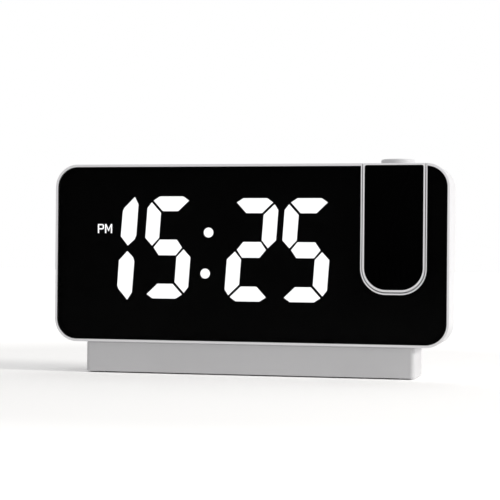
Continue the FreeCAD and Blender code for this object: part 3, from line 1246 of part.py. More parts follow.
def lcd_slide():
    """Glass slide that forms the projected picture."""
    half = HOUSE_HALF - HOUSE_WALL + LCD_SLOT - FIT_GAP
    deep = HOUSE_SIDE - HOUSE_WALL + LCD_SLOT - FIT_GAP
    return block(ARM_X - half, ARM_X + half, OPTIC_D - deep, OPTIC_D + deep,
                 LCD_Z + FIT_GAP, LCD_Z + LCD_T - FIT_GAP)


def domed_lens(x, depth, radius, z, edge_t, full_t, upward):
    """Lens with one flat face at height z, bulging upwards or downwards."""
    rise = full_t - edge_t
    ball_r = (radius ** 2 + rise ** 2) / (2.0 * rise)
    sign = 1.0 if upward else -1.0
    centre = Vector(x, at_depth(depth), z + sign * (full_t - ball_r))
    ends = sorted((z, z + sign * full_t))
    disc = rod_up(x, depth, radius, ends[0], ends[1])
    return disc.common(Part.makeSphere(ball_r, centre))


def condenser_lens():
    """Lens that gathers the lamp's light onto the slide."""
    return domed_lens(ARM_X, OPTIC_D, CONDENSER_R, CONDENSER_Z + FIT_GAP, CONDENSER_T / 2.0,
                      CONDENSER_T, True)


def lamp_board():
    """Small board on top of the lamp house."""
    z = HOUSE_Z[1] + FIT_GAP
    return block(ARM_X - HOUSE_HALF, ARM_X + HOUSE_HALF, OPTIC_D - HOUSE_SIDE,
                 OPTIC_D + HOUSE_SIDE, z, z + LAMP_BOARD_T)


def projector_lamp():
    """Light source under the lamp board."""
    width, depth, height = LAMP
    top = HOUSE_Z[1] + FIT_GAP
    return block(ARM_X - width / 2.0, ARM_X + width / 2.0, OPTIC_D - depth / 2.0,
                 OPTIC_D + depth / 2.0, top - height, top)


def lens_cell():
    """Threaded tube that carries the projection lens and slides when the wheel turns."""
    low, high = CELL_REST_Z, CELL_REST_Z + CELL_L
    tube = rod_up(ARM_X, OPTIC_D, CELL_R, low, high)
    seat = low + LENS_SEAT
    return tube.cut([rod_up(ARM_X, OPTIC_D, APERTURE_R, low - BEYOND, high + BEYOND),
                     rod_up(ARM_X, OPTIC_D, LENS_R + FIT_GAP, seat, high + BEYOND)])


def projection_lens():
    """Front lens of the projector, seated in its cell."""
    return domed_lens(ARM_X, OPTIC_D, LENS_R, CELL_REST_Z + LENS_SEAT + FIT_GAP, LENS_EDGE_T,
                      LENS_T, True)


def focus_wheel():
    """Knurled ring round the lens cell, reached through the slot in the arm cover."""
    wheel = rod_up(ARM_X, OPTIC_D, WHEEL_R, WHEEL_Z, WHEEL_Z + WHEEL_T)
    rim = edges_at_height(wheel, WHEEL_Z) + edges_at_height(wheel, WHEEL_Z + WHEEL_T)
    wheel = wheel.makeChamfer(KNURL_DEPTH, rim)
    flutes = []
    for index in range(KNURLS):
        angle = 2.0 * math.pi * index / KNURLS
        x, depth = ARM_X + WHEEL_R * math.cos(angle), OPTIC_D + WHEEL_R * math.sin(angle)
        flutes.append(rod_up(x, depth, KNURL_DEPTH, WHEEL_Z - BEYOND, WHEEL_Z + WHEEL_T + BEYOND))
    bore = rod_up(ARM_X, OPTIC_D, CELL_R + FIT_GAP, WHEEL_Z - BEYOND, WHEEL_Z + WHEEL_T + BEYOND)
    return wheel.cut(flutes + [bore])


def pieces():
    """Every piece of the clock by name."""
    found = {
        "front_frame": front_frame(), "rear_cover": rear_cover(),
        "projector_well": projector_well(), "display_window": display_window(),
        "segment_reflector": segment_reflector(), "lit_segments": diffusers(True),
        "dark_segments": diffusers(False), "led_chips": led_chips(),
        "display_board": display_board(), "display_screws": display_screws(),
        "main_board": main_board(), "main_screws": main_screws(),
        "board_header": board_header(), "board_chips": board_chips(),
        "key_switches": key_switches(), "snooze_board": snooze_board(),
        "snooze_switch": snooze_switch(), "snooze_button": snooze_button(),
        "buzzer": buzzer(), "coin_cell": coin_cell(), "cell_holder": cell_holder(),
        "cell_door": cell_door(), "door_screw": door_screw(), "port_board": port_board(),
        "usb_outlet": usb_outlet(), "power_inlet": power_inlet(), "case_screws": case_screws(),
        "base_shell": base_shell(), "base_cover": base_cover(), "cover_screws": cover_screws(),
        "rubber_feet": rubber_feet(), "ballast_plate": ballast_plate(),
        "stand_screws": stand_screws(), "arm_shell": arm_shell(), "arm_plate": arm_plate(),
        "arm_cover": arm_cover(), "arm_screws": arm_screws(), "hinge_pins": hinge_pins(),
        "hinge_washers": hinge_washers(), "lamp_house": lamp_house(), "lcd_slide": lcd_slide(),
        "condenser_lens": condenser_lens(), "lamp_board": lamp_board(),
        "projector_lamp": projector_lamp(), "lens_cell": lens_cell(),
        "projection_lens": projection_lens(), "focus_wheel": focus_wheel()}
    for name, (x, z) in zip(KEY_NAMES, key_places()):
        found[name] = rear_key(x, z)
    return found


def main():
    """Write one file for each piece."""
    os.makedirs("parts", exist_ok=True)
    for name, shape in pieces().items():
        if not shape.isValid() or any(not s.isClosed() for s in shape.Solids):
            raise ValueError("piece is not a closed solid: " + name)
        print(name, len(shape.Solids), round(shape.Volume, 1))
        shape.exportStep("parts/" + name + ".step")


main()
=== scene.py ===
"""Looks of the projection alarm clock: finishes, lettering, contacts and a small studio.

Every length is in metres, in the part's own frame: +X to the right of someone reading the
display, the display facing -Y, +Z up, and the table at Z = 0.
"""

import logging
import math
from dataclasses import dataclass, field
from enum import Enum
from typing import Callable, Sequence

import bpy
from mathutils import Matrix, Vector


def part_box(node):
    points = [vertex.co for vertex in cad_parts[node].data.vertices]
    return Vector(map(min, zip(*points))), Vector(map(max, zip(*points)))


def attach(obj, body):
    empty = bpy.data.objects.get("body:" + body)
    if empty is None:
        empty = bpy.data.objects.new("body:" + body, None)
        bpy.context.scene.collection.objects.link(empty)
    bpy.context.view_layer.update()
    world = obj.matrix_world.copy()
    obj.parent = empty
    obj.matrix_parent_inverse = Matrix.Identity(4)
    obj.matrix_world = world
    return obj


MM = 0.001
PHOTO_SIDE = 500                       # pixels along each side of the photograph
PATTERN_SPAN = (0.3, 0.7)              # where most of a noise pattern lies
RAMP_SPAN = (0.35, 0.65)               # part of a pattern over which a tint changes
SHARP_ANGLE = math.radians(35.0)       # edges sharper than this are rounded
SMOOTH_ANGLE = math.radians(32.0)      # faces flatter than this are shaded as one
ROUNDING_FACES = 2                     # faces across a rounded edge
WELD = 0.001 * MM                      # corners nearer than this are made one
IN_PLANE = 0.01 * MM                   # a face nearer than this to a plane lies in it
FACING = 0.99                          # least share of its normal along the way a face looks
FLAT_ANGLE = math.radians(1.0)         # faces flatter than this are made one
SLAB_REACH = 4.0                       # a tile's slab before cutting, in widths of the tile
log = logging.getLogger("clock")
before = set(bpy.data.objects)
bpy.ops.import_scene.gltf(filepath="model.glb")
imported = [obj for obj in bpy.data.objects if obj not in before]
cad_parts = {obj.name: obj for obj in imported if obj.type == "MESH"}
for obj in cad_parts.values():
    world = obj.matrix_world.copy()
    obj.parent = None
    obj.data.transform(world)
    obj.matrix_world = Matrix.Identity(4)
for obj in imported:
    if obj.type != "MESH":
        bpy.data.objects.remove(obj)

Colour = tuple[float, float, float]
Point = tuple[float, float, float]
Pair = tuple[float, float]
Edges = tuple[float, float, float, float]     # left, right, low and high
Corners = tuple[Pair, ...]
Outline = list[Pair]


class Body(Enum):
    """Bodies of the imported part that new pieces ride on."""

    CASE = "case"
    MODE = "mode_button"
    UP = "up_button"
    DOWN = "down_button"
    ALARM = "alarm_button"
    PROJECTOR = "projector_button"


class Segment(Enum):
    """Segments of a digit."""

    TOP = "top"
    UPPER_RIGHT = "upper_right"
    LOWER_RIGHT = "lower_right"
    BOTTOM = "bottom"
    LOWER_LEFT = "lower_left"
    UPPER_LEFT = "upper_left"
    MIDDLE = "middle"


TWO = (Segment.TOP, Segment.UPPER_RIGHT, Segment.MIDDLE, Segment.LOWER_LEFT, Segment.BOTTOM)
FIVE = (Segment.TOP, Segment.UPPER_LEFT, Segment.MIDDLE, Segment.LOWER_RIGHT, Segment.BOTTOM)


# Modelling by operators

def deselect_all() -> None:
    """Leave object mode with nothing selected."""
    if bpy.context.object and bpy.context.object.mode != "OBJECT":
        bpy.ops.object.mode_set(mode="OBJECT")
    bpy.ops.object.select_all(action="DESELECT")


def make_active(piece: bpy.types.Object) -> None:
    """Select one piece alone and make it the active one.

    Args:
        piece: the object that the next operators act on.
    """
    deselect_all()
    piece.select_set(True)
    bpy.context.view_layer.objects.active = piece


def into_scene(name: str, data: bpy.types.ID) -> bpy.types.Object:
    """Put a new object into the scene.

    Args:
        name: its name.
        data: its mesh, lamp or camera.

    Returns:
        The object.
    """
    made = bpy.data.objects.new(name, data)
    bpy.context.scene.collection.objects.link(made)
    return made


def settle(piece: bpy.types.Object, name: str) -> bpy.types.Object:
    """Name a piece and move its place into its mesh, so that the object sits at the origin.

    Args:
        piece: a finished object.
        name: the piece's name.

    Returns:
        The same object.
    """
    make_active(piece)
    bpy.ops.object.transform_apply(location=True, rotation=True, scale=True)
    piece.name = name
    piece.data.name = name
    return piece


def pick_faces(piece: bpy.types.Object, wanted: Callable[[bpy.types.MeshPolygon], bool]) -> None:
    """Enter edit mode with only the wanted faces selected.

    Args:
        piece: the mesh object.
        wanted: says of a face whether it is picked.
    """
    make_active(piece)
    bpy.ops.object.mode_set(mode="EDIT")
    bpy.ops.mesh.select_mode(type="FACE")
    bpy.ops.mesh.select_all(action="DESELECT")
    bpy.ops.object.mode_set(mode="OBJECT")
    for face in piece.data.polygons:
        face.select = wanted(face)
    bpy.ops.object.mode_set(mode="EDIT")


def soften(piece: bpy.types.Object, width: float) -> None:
    """Round a piece's sharp edges with an applied bevel and smooth its shading.

    Args:
        piece: the mesh object.
        width: size of the rounding.
    """
    make_active(piece)
    bevel = piece.modifiers.new("soft_edges", "BEVEL")
    bevel.width = width
    bevel.segments = ROUNDING_FACES
    bevel.limit_method = "ANGLE"
    bevel.angle_limit = SHARP_ANGLE
    bpy.ops.object.modifier_apply(modifier=bevel.name)
    bpy.ops.object.shade_smooth_by_angle(angle=SMOOTH_ANGLE)


def bar(left: float, right: float, low: float, high: float) -> Outline:
    """Corners of a level or upright bar between four edges."""
    return [(left, low), (right, low), (right, high), (left, high)]


def cut_tile(corners: Outline, middle: float, thickness: float) -> bpy.types.Object:
    """A thin upright tile, cut from a slab along each side of a convex outline.

    Args:
        corners: the outline's corners, as X and Z.
        middle: Y of the middle of the tile.
        thickness: its size along Y.

    Returns:
        The tile, with its place in its mesh.
    """
    xs = [x for x, z in corners]
    zs = [z for x, z in corners]
    centre = Vector((sum(xs) / len(xs), middle, sum(zs) / len(zs)))
    reach = SLAB_REACH * max(max(xs) - min(xs), max(zs) - min(zs))
    deselect_all()
    bpy.ops.mesh.primitive_cube_add(size=1.0, location=centre, scale=(reach, thickness, reach))
    tile = bpy.context.object
    bpy.ops.object.transform_apply(location=True, rotation=True, scale=True)
    bpy.ops.object.mode_set(mode="EDIT")
    for (x, z), (next_x, next_z) in zip(corners, corners[1:] + corners[:1]):
        corner = Vector((x, middle, z))
        outward = Vector((next_z - z, 0.0, x - next_x)).normalized()
        if outward.dot(corner - centre) < 0.0:
            outward.negate()
        bpy.ops.mesh.select_all(action="SELECT")
        bpy.ops.mesh.bisect(plane_co=corner, plane_no=outward, use_fill=True, clear_outer=True)
    bpy.ops.object.mode_set(mode="OBJECT")
    return tile


def join_all(pieces: Sequence[bpy.types.Object], name: str) -> bpy.types.Object:
    """Join several pieces into one.

    Args:
        pieces: mesh objects.
        name: name of the result.

    Returns:
        The joined object, at the origin.
    """
    deselect_all()
    for piece in pieces:
        piece.select_set(True)
    bpy.context.view_layer.objects.active = pieces[0]
    bpy.ops.object.join()
    return settle(pieces[0], name)


# Finishes

class Nodes:
    """A node tree being written, with short ways to add and join nodes."""

    def __init__(self, tree: bpy.types.NodeTree) -> None:
        """Take up a tree.

        Args:
            tree: the node tree of a material or sky.
        """
        self.tree = tree

    def node(self, kind: str, **values: object) -> bpy.types.Node:
        """Add a node.

        Args:
            kind: its type, without the leading ShaderNode.
            values: properties of the node, or values of its inputs by lower-case name.

        Returns:
            The new node.
        """
        made = self.tree.nodes.new("ShaderNode" + kind)
        sockets = {}
        for socket in made.inputs:
            sockets.setdefault(socket.name.lower().replace(" ", "_"), socket)
        for key, value in values.items():
            if key in sockets:
                sockets[key].default_value = value
            else:
                setattr(made, key, value)
        return made

    def join(self, source: bpy.types.NodeSocket, target: bpy.types.NodeSocket) -> None:
        """Link two sockets."""
        self.tree.links.new(source, target)

    def seen_rays(self) -> bpy.types.NodeSocket:
        """A switch that is 1 for what the camera sees, also in gloss and through glass.

        Returns:
            The switch's socket.
        """
        rays = self.node("LightPath")
        total = rays.outputs["Is Camera Ray"]
        for name in ("Is Glossy Ray", "Is Transmission Ray"):
            either = self.node("Math", operation="MAXIMUM")
            self.join(total, either.inputs[0])
            self.join(rays.outputs[name], either.inputs[1])
            total = either.outputs["Value"]
        return total


class Paint(Nodes):
    """A new material being written around its Principled shader."""

    def __init__(self, name: str) -> None:
        """Start a material.

        Args:
            name: its name.
        """
        self.material = bpy.data.materials.new(name)
        self.material.use_nodes = True
        super().__init__(self.material.node_tree)
        self.shader = self.tree.nodes["Principled BSDF"]

    def set(self, **values: object) -> None:
        """Set plain values on the shader's own sockets.

        Args:
            values: the values, by lower-case name of the socket.
        """
        names = {socket.name.lower().replace(" ", "_"): socket for socket in self.shader.inputs}
        for key, value in values.items():
            names[key].default_value = value

    def noise(self, scale: float, detail: float = 2.0,
              stretch: Sequence[float] = (1.0, 1.0, 1.0)) -> bpy.types.NodeSocket:
        """A noise pattern that is fixed to the piece.

        Args:
            scale: how many features lie along one metre.
            detail: octaves of finer noise.
            stretch: scale along each axis, compared with the others.

        Returns:
            The socket with the pattern, from 0 to 1.
        """
        place = self.node("TexCoord")
        mapping = self.node("Mapping", scale=stretch)
        pattern = self.node("TexNoise", scale=scale, detail=detail)
        self.join(place.outputs["Object"], mapping.inputs["Vector"])
        self.join(mapping.outputs["Vector"], pattern.inputs["Vector"])
        return pattern.outputs["Fac"]

    def spread(self, source: bpy.types.NodeSocket, low: float, high: float,
               target: bpy.types.NodeSocket) -> None:
        """Map a pattern onto a range and feed it to a socket.

        Args:
            source: the pattern.
            low: value where the pattern is low.
            high: value where the pattern is high.
            target: the socket that takes the result.
        """
        start, end = PATTERN_SPAN
        ranger = self.node("MapRange", from_min=start, from_max=end, to_min=low, to_max=high)
        self.join(source, ranger.inputs["Value"])
        self.join(ranger.outputs["Result"], target)

    def tint(self, source: bpy.types.NodeSocket, first: Colour, second: Colour) -> None:
        """Let a pattern blend the base colour between two tones.

        Args:
            source: the pattern.
            first: tone where the pattern is low.
            second: tone where the pattern is high.
        """
        ramp = self.node("ValToRGB")
        for stop, place, tone in zip(ramp.color_ramp.elements, RAMP_SPAN, (first, second)):
            stop.position = place
            stop.color = (*tone, 1.0)
        self.join(source, ramp.inputs["Fac"])
        self.join(ramp.outputs["Color"], self.shader.inputs["Base Color"])

    def bump(self, source: bpy.types.NodeSocket, height: float, strength: float) -> None:
        """Raise the surface by a pattern.

        Args:
            source: the pattern.
            height: real height of its features.
            strength: share of the effect.
        """
        bump = self.node("Bump", strength=strength, distance=height)
        self.join(source, bump.inputs["Height"])
        self.join(bump.outputs["Normal"], self.shader.inputs["Normal"])


def toned(colour: Colour, share: float) -> Colour:
    """A colour made lighter or darker.

    Args:
        colour: the colour.
        share: what each channel is multiplied by.

    Returns:
        The new colour.
    """
    return tuple(min(1.0, channel * share) for channel in colour)


def shades(colour: Colour, tones: Pair) -> tuple[Colour, Colour]:
    """The two tones of a colour that a pattern blends between."""
    return toned(colour, tones[0]), toned(colour, tones[1])


@dataclass(frozen=True)
class Finish:
    """What all finishes share."""

    name: str

    def build(self) -> bpy.types.Material:
        """Make the material.

        Returns:
            The finished material.
        """
        paint = Paint(self.name)
        self.write(paint)
        return paint.material

    def write(self, paint: Paint) -> None:
        """Write the finish's nodes.

        Args:
            paint: the new material.
        """
        raise NotImplementedError


@dataclass(frozen=True)
class MouldedPlastic(Finish):
    """Injection-moulded plastic with the fine spark texture of its mould."""

    colour: Colour
    roughness: float = 0.42
    grain: float = 3800.0
    grain_height: float = 0.006 * MM
    grain_share: float = 0.6
    swing: float = 0.05
    flow: float = 38.0
    variation: float = 0.012

    def write(self, paint: Paint) -> None:
        """Write the finish's nodes.

        Args:
            paint: the new material.
        """
        paint.set(ior=1.5)
        flow = paint.noise(self.flow, detail=3.0)
        tones = (1.0 - self.variation, 1.0 + self.variation)
        paint.tint(flow, *shades(self.colour, tones))
        grain = paint.noise(self.grain)
        paint.spread(grain, self.roughness - self.swing, self.roughness + self.swing,
                     paint.shader.inputs["Roughness"])
        paint.bump(grain, self.grain_height, self.grain_share)


@dataclass(frozen=True)
class MirrorAcrylic(Finish):
    """Smoked, half-mirrored acrylic: nearly black, but the lamps behind it shine through."""

    colour: Colour = (0.0012, 0.0012, 0.0013)
    clearness: float = 0.35
    tones: Pair = (0.8, 1.2)
    clouds: float = 25.0
    haze: float = 60.0
    roughness: Pair = (0.02, 0.032)

    def write(self, paint: Paint) -> None:
        """Write the finish's nodes.

        Args:
            paint: the new material.
        """
        paint.set(ior=1.49, alpha=1.0 - self.clearness)
        paint.tint(paint.noise(self.clouds), *shades(self.colour, self.tones))
        paint.spread(paint.noise(self.haze, detail=4.0), *self.roughness,
                     paint.shader.inputs["Roughness"])


@dataclass(frozen=True)
class LitDiffuser(Finish):
    """Milky diffuser with a lamp behind it."""

    strength: float
    colour: Colour = (0.92, 0.94, 1.0)
    tones: Pair = (0.9, 1.0)
    milk: float = 900.0
    roughness: float = 0.5

    def write(self, paint: Paint) -> None:
        """Write the finish's nodes.

        Args:
            paint: the new material.
        """
        paint.set(roughness=self.roughness, emission_color=(*self.colour, 1.0),
                  emission_strength=self.strength)
        paint.tint(paint.noise(self.milk), *shades(self.colour, self.tones))


@dataclass(frozen=True)
class TurnedMetal(Finish):
    """Metal with the fine marks of turning, rolling or plating."""

    colour: Colour
    roughness: float = 0.3
    swing: Pair = (0.08, 0.1)
    tones: Pair = (0.88, 1.06)
    marks: float = 900.0
    mark_height: float = 0.004 * MM
    mark_share: float = 0.5
    stretch: Point = (1.0, 1.0, 6.0)

    def write(self, paint: Paint) -> None:
        """Write the finish's nodes.

        Args:
            paint: the new material.
        """
        paint.set(metallic=1.0)
        marks = paint.noise(self.marks, detail=5.0, stretch=self.stretch)
        paint.tint(marks, *shades(self.colour, self.tones))
        paint.spread(marks, self.roughness - self.swing[0], self.roughness + self.swing[1],
                     paint.shader.inputs["Roughness"])
        paint.bump(marks, self.mark_height, self.mark_share)


@dataclass(frozen=True)
class LensGlass(Finish):
    """Coated optical glass."""

    colour: Colour = (0.9, 0.93, 1.0)
    coating: Colour = (0.75, 0.7, 1.0)
    tones: Pair = (0.97, 1.0)
    cast: float = 120.0
    polish: float = 500.0
    roughness: Pair = (0.0, 0.03)

    def write(self, paint: Paint) -> None:
        """Write the finish's nodes.

        Args:
            paint: the new material.
        """
        paint.set(ior=1.52, transmission_weight=1.0, coat_weight=0.6, coat_roughness=0.02,
                  coat_tint=(*self.coating, 1.0))
        paint.tint(paint.noise(self.cast), *shades(self.colour, self.tones))
        paint.spread(paint.noise(self.polish), *self.roughness,
                     paint.shader.inputs["Roughness"])


@dataclass(frozen=True)
class CircuitBoard(Finish):
    """Glass-fibre board under green resist, with faint copper tracks."""

    resist: Colour = (0.012, 0.09, 0.035)
    track: Colour = (0.03, 0.16, 0.06)
    track_scale: float = 240.0
    track_width: float = 0.18
    track_height: float = 0.03 * MM
    track_share: float = 0.4
    roughness: float = 0.28

    def write(self, paint: Paint) -> None:
        """Write the finish's nodes.

        Args:
            paint: the new material.
        """
        paint.set(roughness=self.roughness)
        place = paint.node("TexCoord")
        tracks = paint.node("TexBrick", scale=self.track_scale, mortar_size=self.track_width,
                            mortar_smooth=0.1)
        paint.join(place.outputs["Object"], tracks.inputs["Vector"])
        paint.tint(tracks.outputs["Fac"], self.resist, self.track)
        paint.bump(tracks.outputs["Fac"], self.track_height, self.track_share)


@dataclass(frozen=True)
class SoftRubber(Finish):
    """Dull rubber of the feet."""

    colour: Colour = (0.035, 0.035, 0.037)
    tones: Pair = (0.7, 1.5)
    dust: float = 700.0
    dust_height: float = 0.02 * MM
    dust_share: float = 0.6
    roughness: Pair = (0.75, 0.92)

    def write(self, paint: Paint) -> None:
        """Write the finish's nodes.

        Args:
            paint: the new material.
        """
        paint.set(sheen_weight=0.2, sheen_roughness=0.6)
        dust = paint.noise(self.dust, detail=4.0)
        paint.tint(dust, *shades(self.colour, self.tones))
        paint.spread(dust, *self.roughness, paint.shader.inputs["Roughness"])
        paint.bump(dust, self.dust_height, self.dust_share)


@dataclass
class Palette:
    """All finishes of the clock, each built once."""

    white: Colour = (0.9, 0.895, 0.91)
    made: dict[str, bpy.types.Material] = field(default_factory=dict)

    def finishes(self) -> list[Finish]:
        """Every finish that the clock uses.

        Returns:
            The finishes, in the order that they are built in.
        """
        return [
            MouldedPlastic("white_satin", self.white),
            # a darker copy of the case's white: painted shade for the shadow that the case casts
            # on the base's front
            MouldedPlastic("base_satin", toned(self.white, 0.92), roughness=0.46),
            MouldedPlastic("button_satin", self.white, roughness=0.36, grain=5200.0),
            MouldedPlastic("cover_matt", toned(self.white, 0.94), roughness=0.55, grain=2400.0,
                           grain_height=0.015 * MM),
            MirrorAcrylic("mirror_acrylic"),
            MirrorAcrylic("arm_acrylic", clearness=0.02),
            LitDiffuser("lit_diffuser", strength=1.0),
            LitDiffuser("lit_window", strength=3.1, colour=(0.985, 0.99, 1.0)),
            MouldedPlastic("dark_diffuser", (0.012, 0.012, 0.013), roughness=0.5, variation=0.2),
            MouldedPlastic("reflector_black", (0.003, 0.003, 0.003), roughness=0.6,
                           variation=0.25),
            MouldedPlastic("black_nylon", (0.018, 0.018, 0.019), roughness=0.45, variation=0.2,
                           grain_height=0.012 * MM),
            MouldedPlastic("wheel_nylon", (0.035, 0.035, 0.038), roughness=0.5, variation=0.2,
                           grain_height=0.015 * MM),
            MouldedPlastic("mark_grey", (0.22, 0.22, 0.235), roughness=0.5, variation=0.05),
            MouldedPlastic("lamp_package", (0.75, 0.68, 0.35), roughness=0.25, variation=0.1),
            TurnedMetal("zinc_steel", (0.62, 0.62, 0.64)),
            TurnedMetal("socket_nickel", (0.72, 0.71, 0.69), roughness=0.24, marks=500.0,
                        stretch=(1.0, 8.0, 1.0)),
            TurnedMetal("hinge_steel", (0.5, 0.5, 0.52), stretch=(8.0, 1.0, 1.0)),
            TurnedMetal("contact_gold", (0.86, 0.62, 0.26), roughness=0.22, marks=1500.0,
                        stretch=(1.0, 6.0, 1.0)),
            LensGlass("lens_glass"),
            CircuitBoard("circuit_board"),
            SoftRubber("foot_rubber"),
        ]

    def build(self) -> None:
        """Make every material."""
        for finish in self.finishes():
            self.made[finish.name] = finish.build()
        log.info("finishes: %d", len(self.made))

    def put(self, piece: bpy.types.Object, name: str) -> None:
        """Give a whole piece one finish.

        Args:
            piece: the mesh object.
            name: name of the finish.
        """
        if piece.material_slots:
            for place in piece.material_slots:
                place.material = self.made[name]
        else:
            piece.data.materials.append(self.made[name])


@dataclass
class SubAssembly:
    """What all sub-assemblies of the clock share."""

    palette: Palette

    def dress(self, finish: str, nodes: Sequence[str]) -> None:
        """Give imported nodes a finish.

        Args:
            finish: name of the finish.
            nodes: names of the nodes.
        """
        for name in nodes:
            self.palette.put(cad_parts[name], finish)
            log.info("%s: %s", name, finish)

    def mount(self, piece: bpy.types.Object, body: Body, finish: str, slot: str) -> None:
        """Finish a new piece and fix it to its body.

        Args:
            piece: the settled mesh object.
            body: the body that it moves with.
            finish: name of the finish.
            slot: a material slot's name; not used.
        """
        self.palette.put(piece, finish)
        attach(piece, body.value)
        log.info("%s: %d faces, on %s", piece.name, len(piece.data.polygons), body.value)


@dataclass
class Housing(SubAssembly):
    """White case mouldings, the projector well and the screws that close the case."""

    def build(self) -> None:
        """Dress the case."""
        self.dress("white_satin", ["front_frame", "rear_cover", "projector_well"])
        self.dress("zinc_steel", ["case_screws"])
        self.dress("mirror_acrylic", ["display_window"])


@dataclass
class Display(SubAssembly):
    """Black film on the mirror's rear face, and the lit windows in it."""

    digit_width: float = 22.4 * MM
    digit_height: float = 47.4 * MM
    level_bar: float = 7.25 * MM
    upright_bar: float = 7.1 * MM
    gap: float = 1.15 * MM
    lean: float = 0.07
    shoulder: Pair = (5.6 * MM, 5.4 * MM)
    bulge: Pair = (3.3 * MM, 2.35 * MM)
    right_pair: Pair = (1.7 * MM, 27.05 * MM)
    left_pair: Pair = (-65.1 * MM, -38.05 * MM)
    right_middle: float = 57.78 * MM
    left_middle: float = 58.62 * MM
    first_middle: float = 58.1 * MM
    first_segment: Corners = (
        (9.3 * MM, 24.0 * MM), (4.6 * MM, 18.9 * MM), (3.95 * MM, 17.3 * MM),
        (3.85 * MM, 5.6 * MM), (7.6 * MM, 1.3 * MM), (10.6 * MM, 4.1 * MM),
        (11.35 * MM, 6.1 * MM), (11.3 * MM, 20.5 * MM))
    colon: Corners = ((-18.59 * MM, 65.63 * MM), (-20.05 * MM, 46.69 * MM))
    colon_radius: float = 2.28 * MM
    dot_vertices: int = 64
    letters_low: float = 65.15 * MM
    letters_high: float = 69.4 * MM
    letter_p: Pair = (-72.1 * MM, -69.1 * MM)
    letter_m: Pair = (-68.6 * MM, -65.1 * MM)
    stroke: float = 0.66 * MM
    bowl_share: float = 0.6        # height of the bowl of the P, compared with the letter
    level_share: float = 0.92      # thickness of its level strokes, in strokes
    shoulder_share: float = 1.3    # where its corner starts, in strokes from the right
    bend_share: float = 0.4        # how far that corner is cut, in strokes
    valley_share: float = 1.1      # lowest point of the V in the M, in strokes
    fall_share: float = 1.7        # upright thickness of its slopes, in strokes
    film: float = 0.01 * MM
    film_inside: float = 0.02 * MM
    tile_inside: float = 0.045 * MM

    @property
    def tile_middle(self) -> float:
        """Y of the middle of the lit windows."""
        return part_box("display_window")[1].y - self.tile_inside

    def build(self) -> None:
        """Dress the display, then lay the film and its lit windows."""
        self.dress("lit_diffuser", ["lit_segments"])
        self.dress("dark_diffuser", ["dark_segments"])
        self.dress("reflector_black", ["segment_reflector"])
        self.dress("lamp_package", ["led_chips"])
        self.dress("circuit_board", ["display_board"])
        self.dress("zinc_steel", ["display_screws"])
        self.mount(self.mirror_film(), Body.CASE, "reflector_black", "reflector_plastic")
        lit = [self.first_digit(),
               self.digit("lit_digit_2", self.left_pair[1], self.left_middle, FIVE),
               self.digit("lit_digit_3", self.right_pair[0], self.right_middle, TWO),
               self.digit("lit_digit_4", self.right_pair[1], self.right_middle, FIVE),
               self.colon_dots(), self.afternoon_sign()]
        for piece in lit:
            self.mount(piece, Body.CASE, "lit_window", "lit_diffuser")

    def mirror_film(self) -> bpy.types.Object:
        """Black film that covers the mirror's rear face.

        Returns:
            The film, just inside that face.
        """
        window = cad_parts["display_window"]
        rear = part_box("display_window")[1].y
        film = into_scene("mirror_film", window.data.copy())
        make_active(film)
        bpy.ops.mesh.customdata_custom_splitnormals_clear()
        bpy.ops.object.mode_set(mode="EDIT")
        bpy.ops.mesh.select_all(action="SELECT")
        bpy.ops.mesh.remove_doubles(threshold=WELD)
        pick_faces(film, lambda face: abs(face.center.y - rear) > IN_PLANE
                   or face.normal.y < FACING)
        bpy.ops.mesh.delete(type="FACE")
        bpy.ops.mesh.select_all(action="SELECT")
        bpy.ops.mesh.dissolve_limited(angle_limit=FLAT_ANGLE)
        bpy.ops.transform.translate(value=(0.0, -self.film_inside, 0.0))
        bpy.ops.object.mode_set(mode="OBJECT")
        wall = film.modifiers.new("film_thickness", "SOLIDIFY")
        wall.thickness = self.film
        wall.offset = -1.0
        bpy.ops.object.modifier_apply(modifier=wall.name)
        return settle(film, "mirror_film")

    def outlines(self) -> dict[Segment, Outline]:
        """Upright outlines of a digit's segments about its middle.

        Returns:
            Corners of each segment, as X and Z.
        """
        half_w, half_h = self.digit_width / 2.0, self.digit_height / 2.0
        in_w, in_h = half_w - self.upright_bar, half_h - self.level_bar
        mid_w = half_w - self.upright_bar / 2.0
        gap, point = self.gap / math.sqrt(2.0), self.level_bar / 2.0
        shoulder = (half_w - self.shoulder[0], half_h - self.shoulder[1])
        bulge = (shoulder[0] + self.bulge[0], half_h - self.bulge[1])
        top = [(in_w - gap / 2.0, in_h + gap / 2.0), (bulge[0] - gap / 2.0, bulge[1] + gap / 2.0),
               (shoulder[0], half_h)]
        level = top + [(-x, z) for x, z in reversed(top)]
        side = [(in_w + gap / 2.0, in_h - gap / 2.0), (in_w + gap / 2.0, point + gap),
                (mid_w, gap), (half_w, point + gap), (half_w, shoulder[1]),
                (bulge[0] + gap / 2.0, bulge[1] - gap / 2.0)]
        middle = [(mid_w - gap, 0.0), (in_w, point), (-in_w, point),
                  (gap - mid_w, 0.0), (-in_w, -point), (in_w, -point)]
        return {Segment.TOP: level,
                Segment.UPPER_RIGHT: side,
                Segment.LOWER_RIGHT: [(x, -z) for x, z in side],
                Segment.BOTTOM: [(x, -z) for x, z in level],
                Segment.LOWER_LEFT: [(-x, -z) for x, z in side],
                Segment.UPPER_LEFT: [(-x, z) for x, z in side],
                Segment.MIDDLE: middle}

    def lean_over(self, corners: Outline, x: float, z: float) -> Outline:
        """Lean an upright outline and bring it to its place.

        Args:
            corners: the outline about the digit's middle.
            x: X of the digit's middle.
            z: Z of the digit's middle.

        Returns:
            The placed outline.
        """
        return [(x + right + self.lean * up, z + up) for right, up in corners]

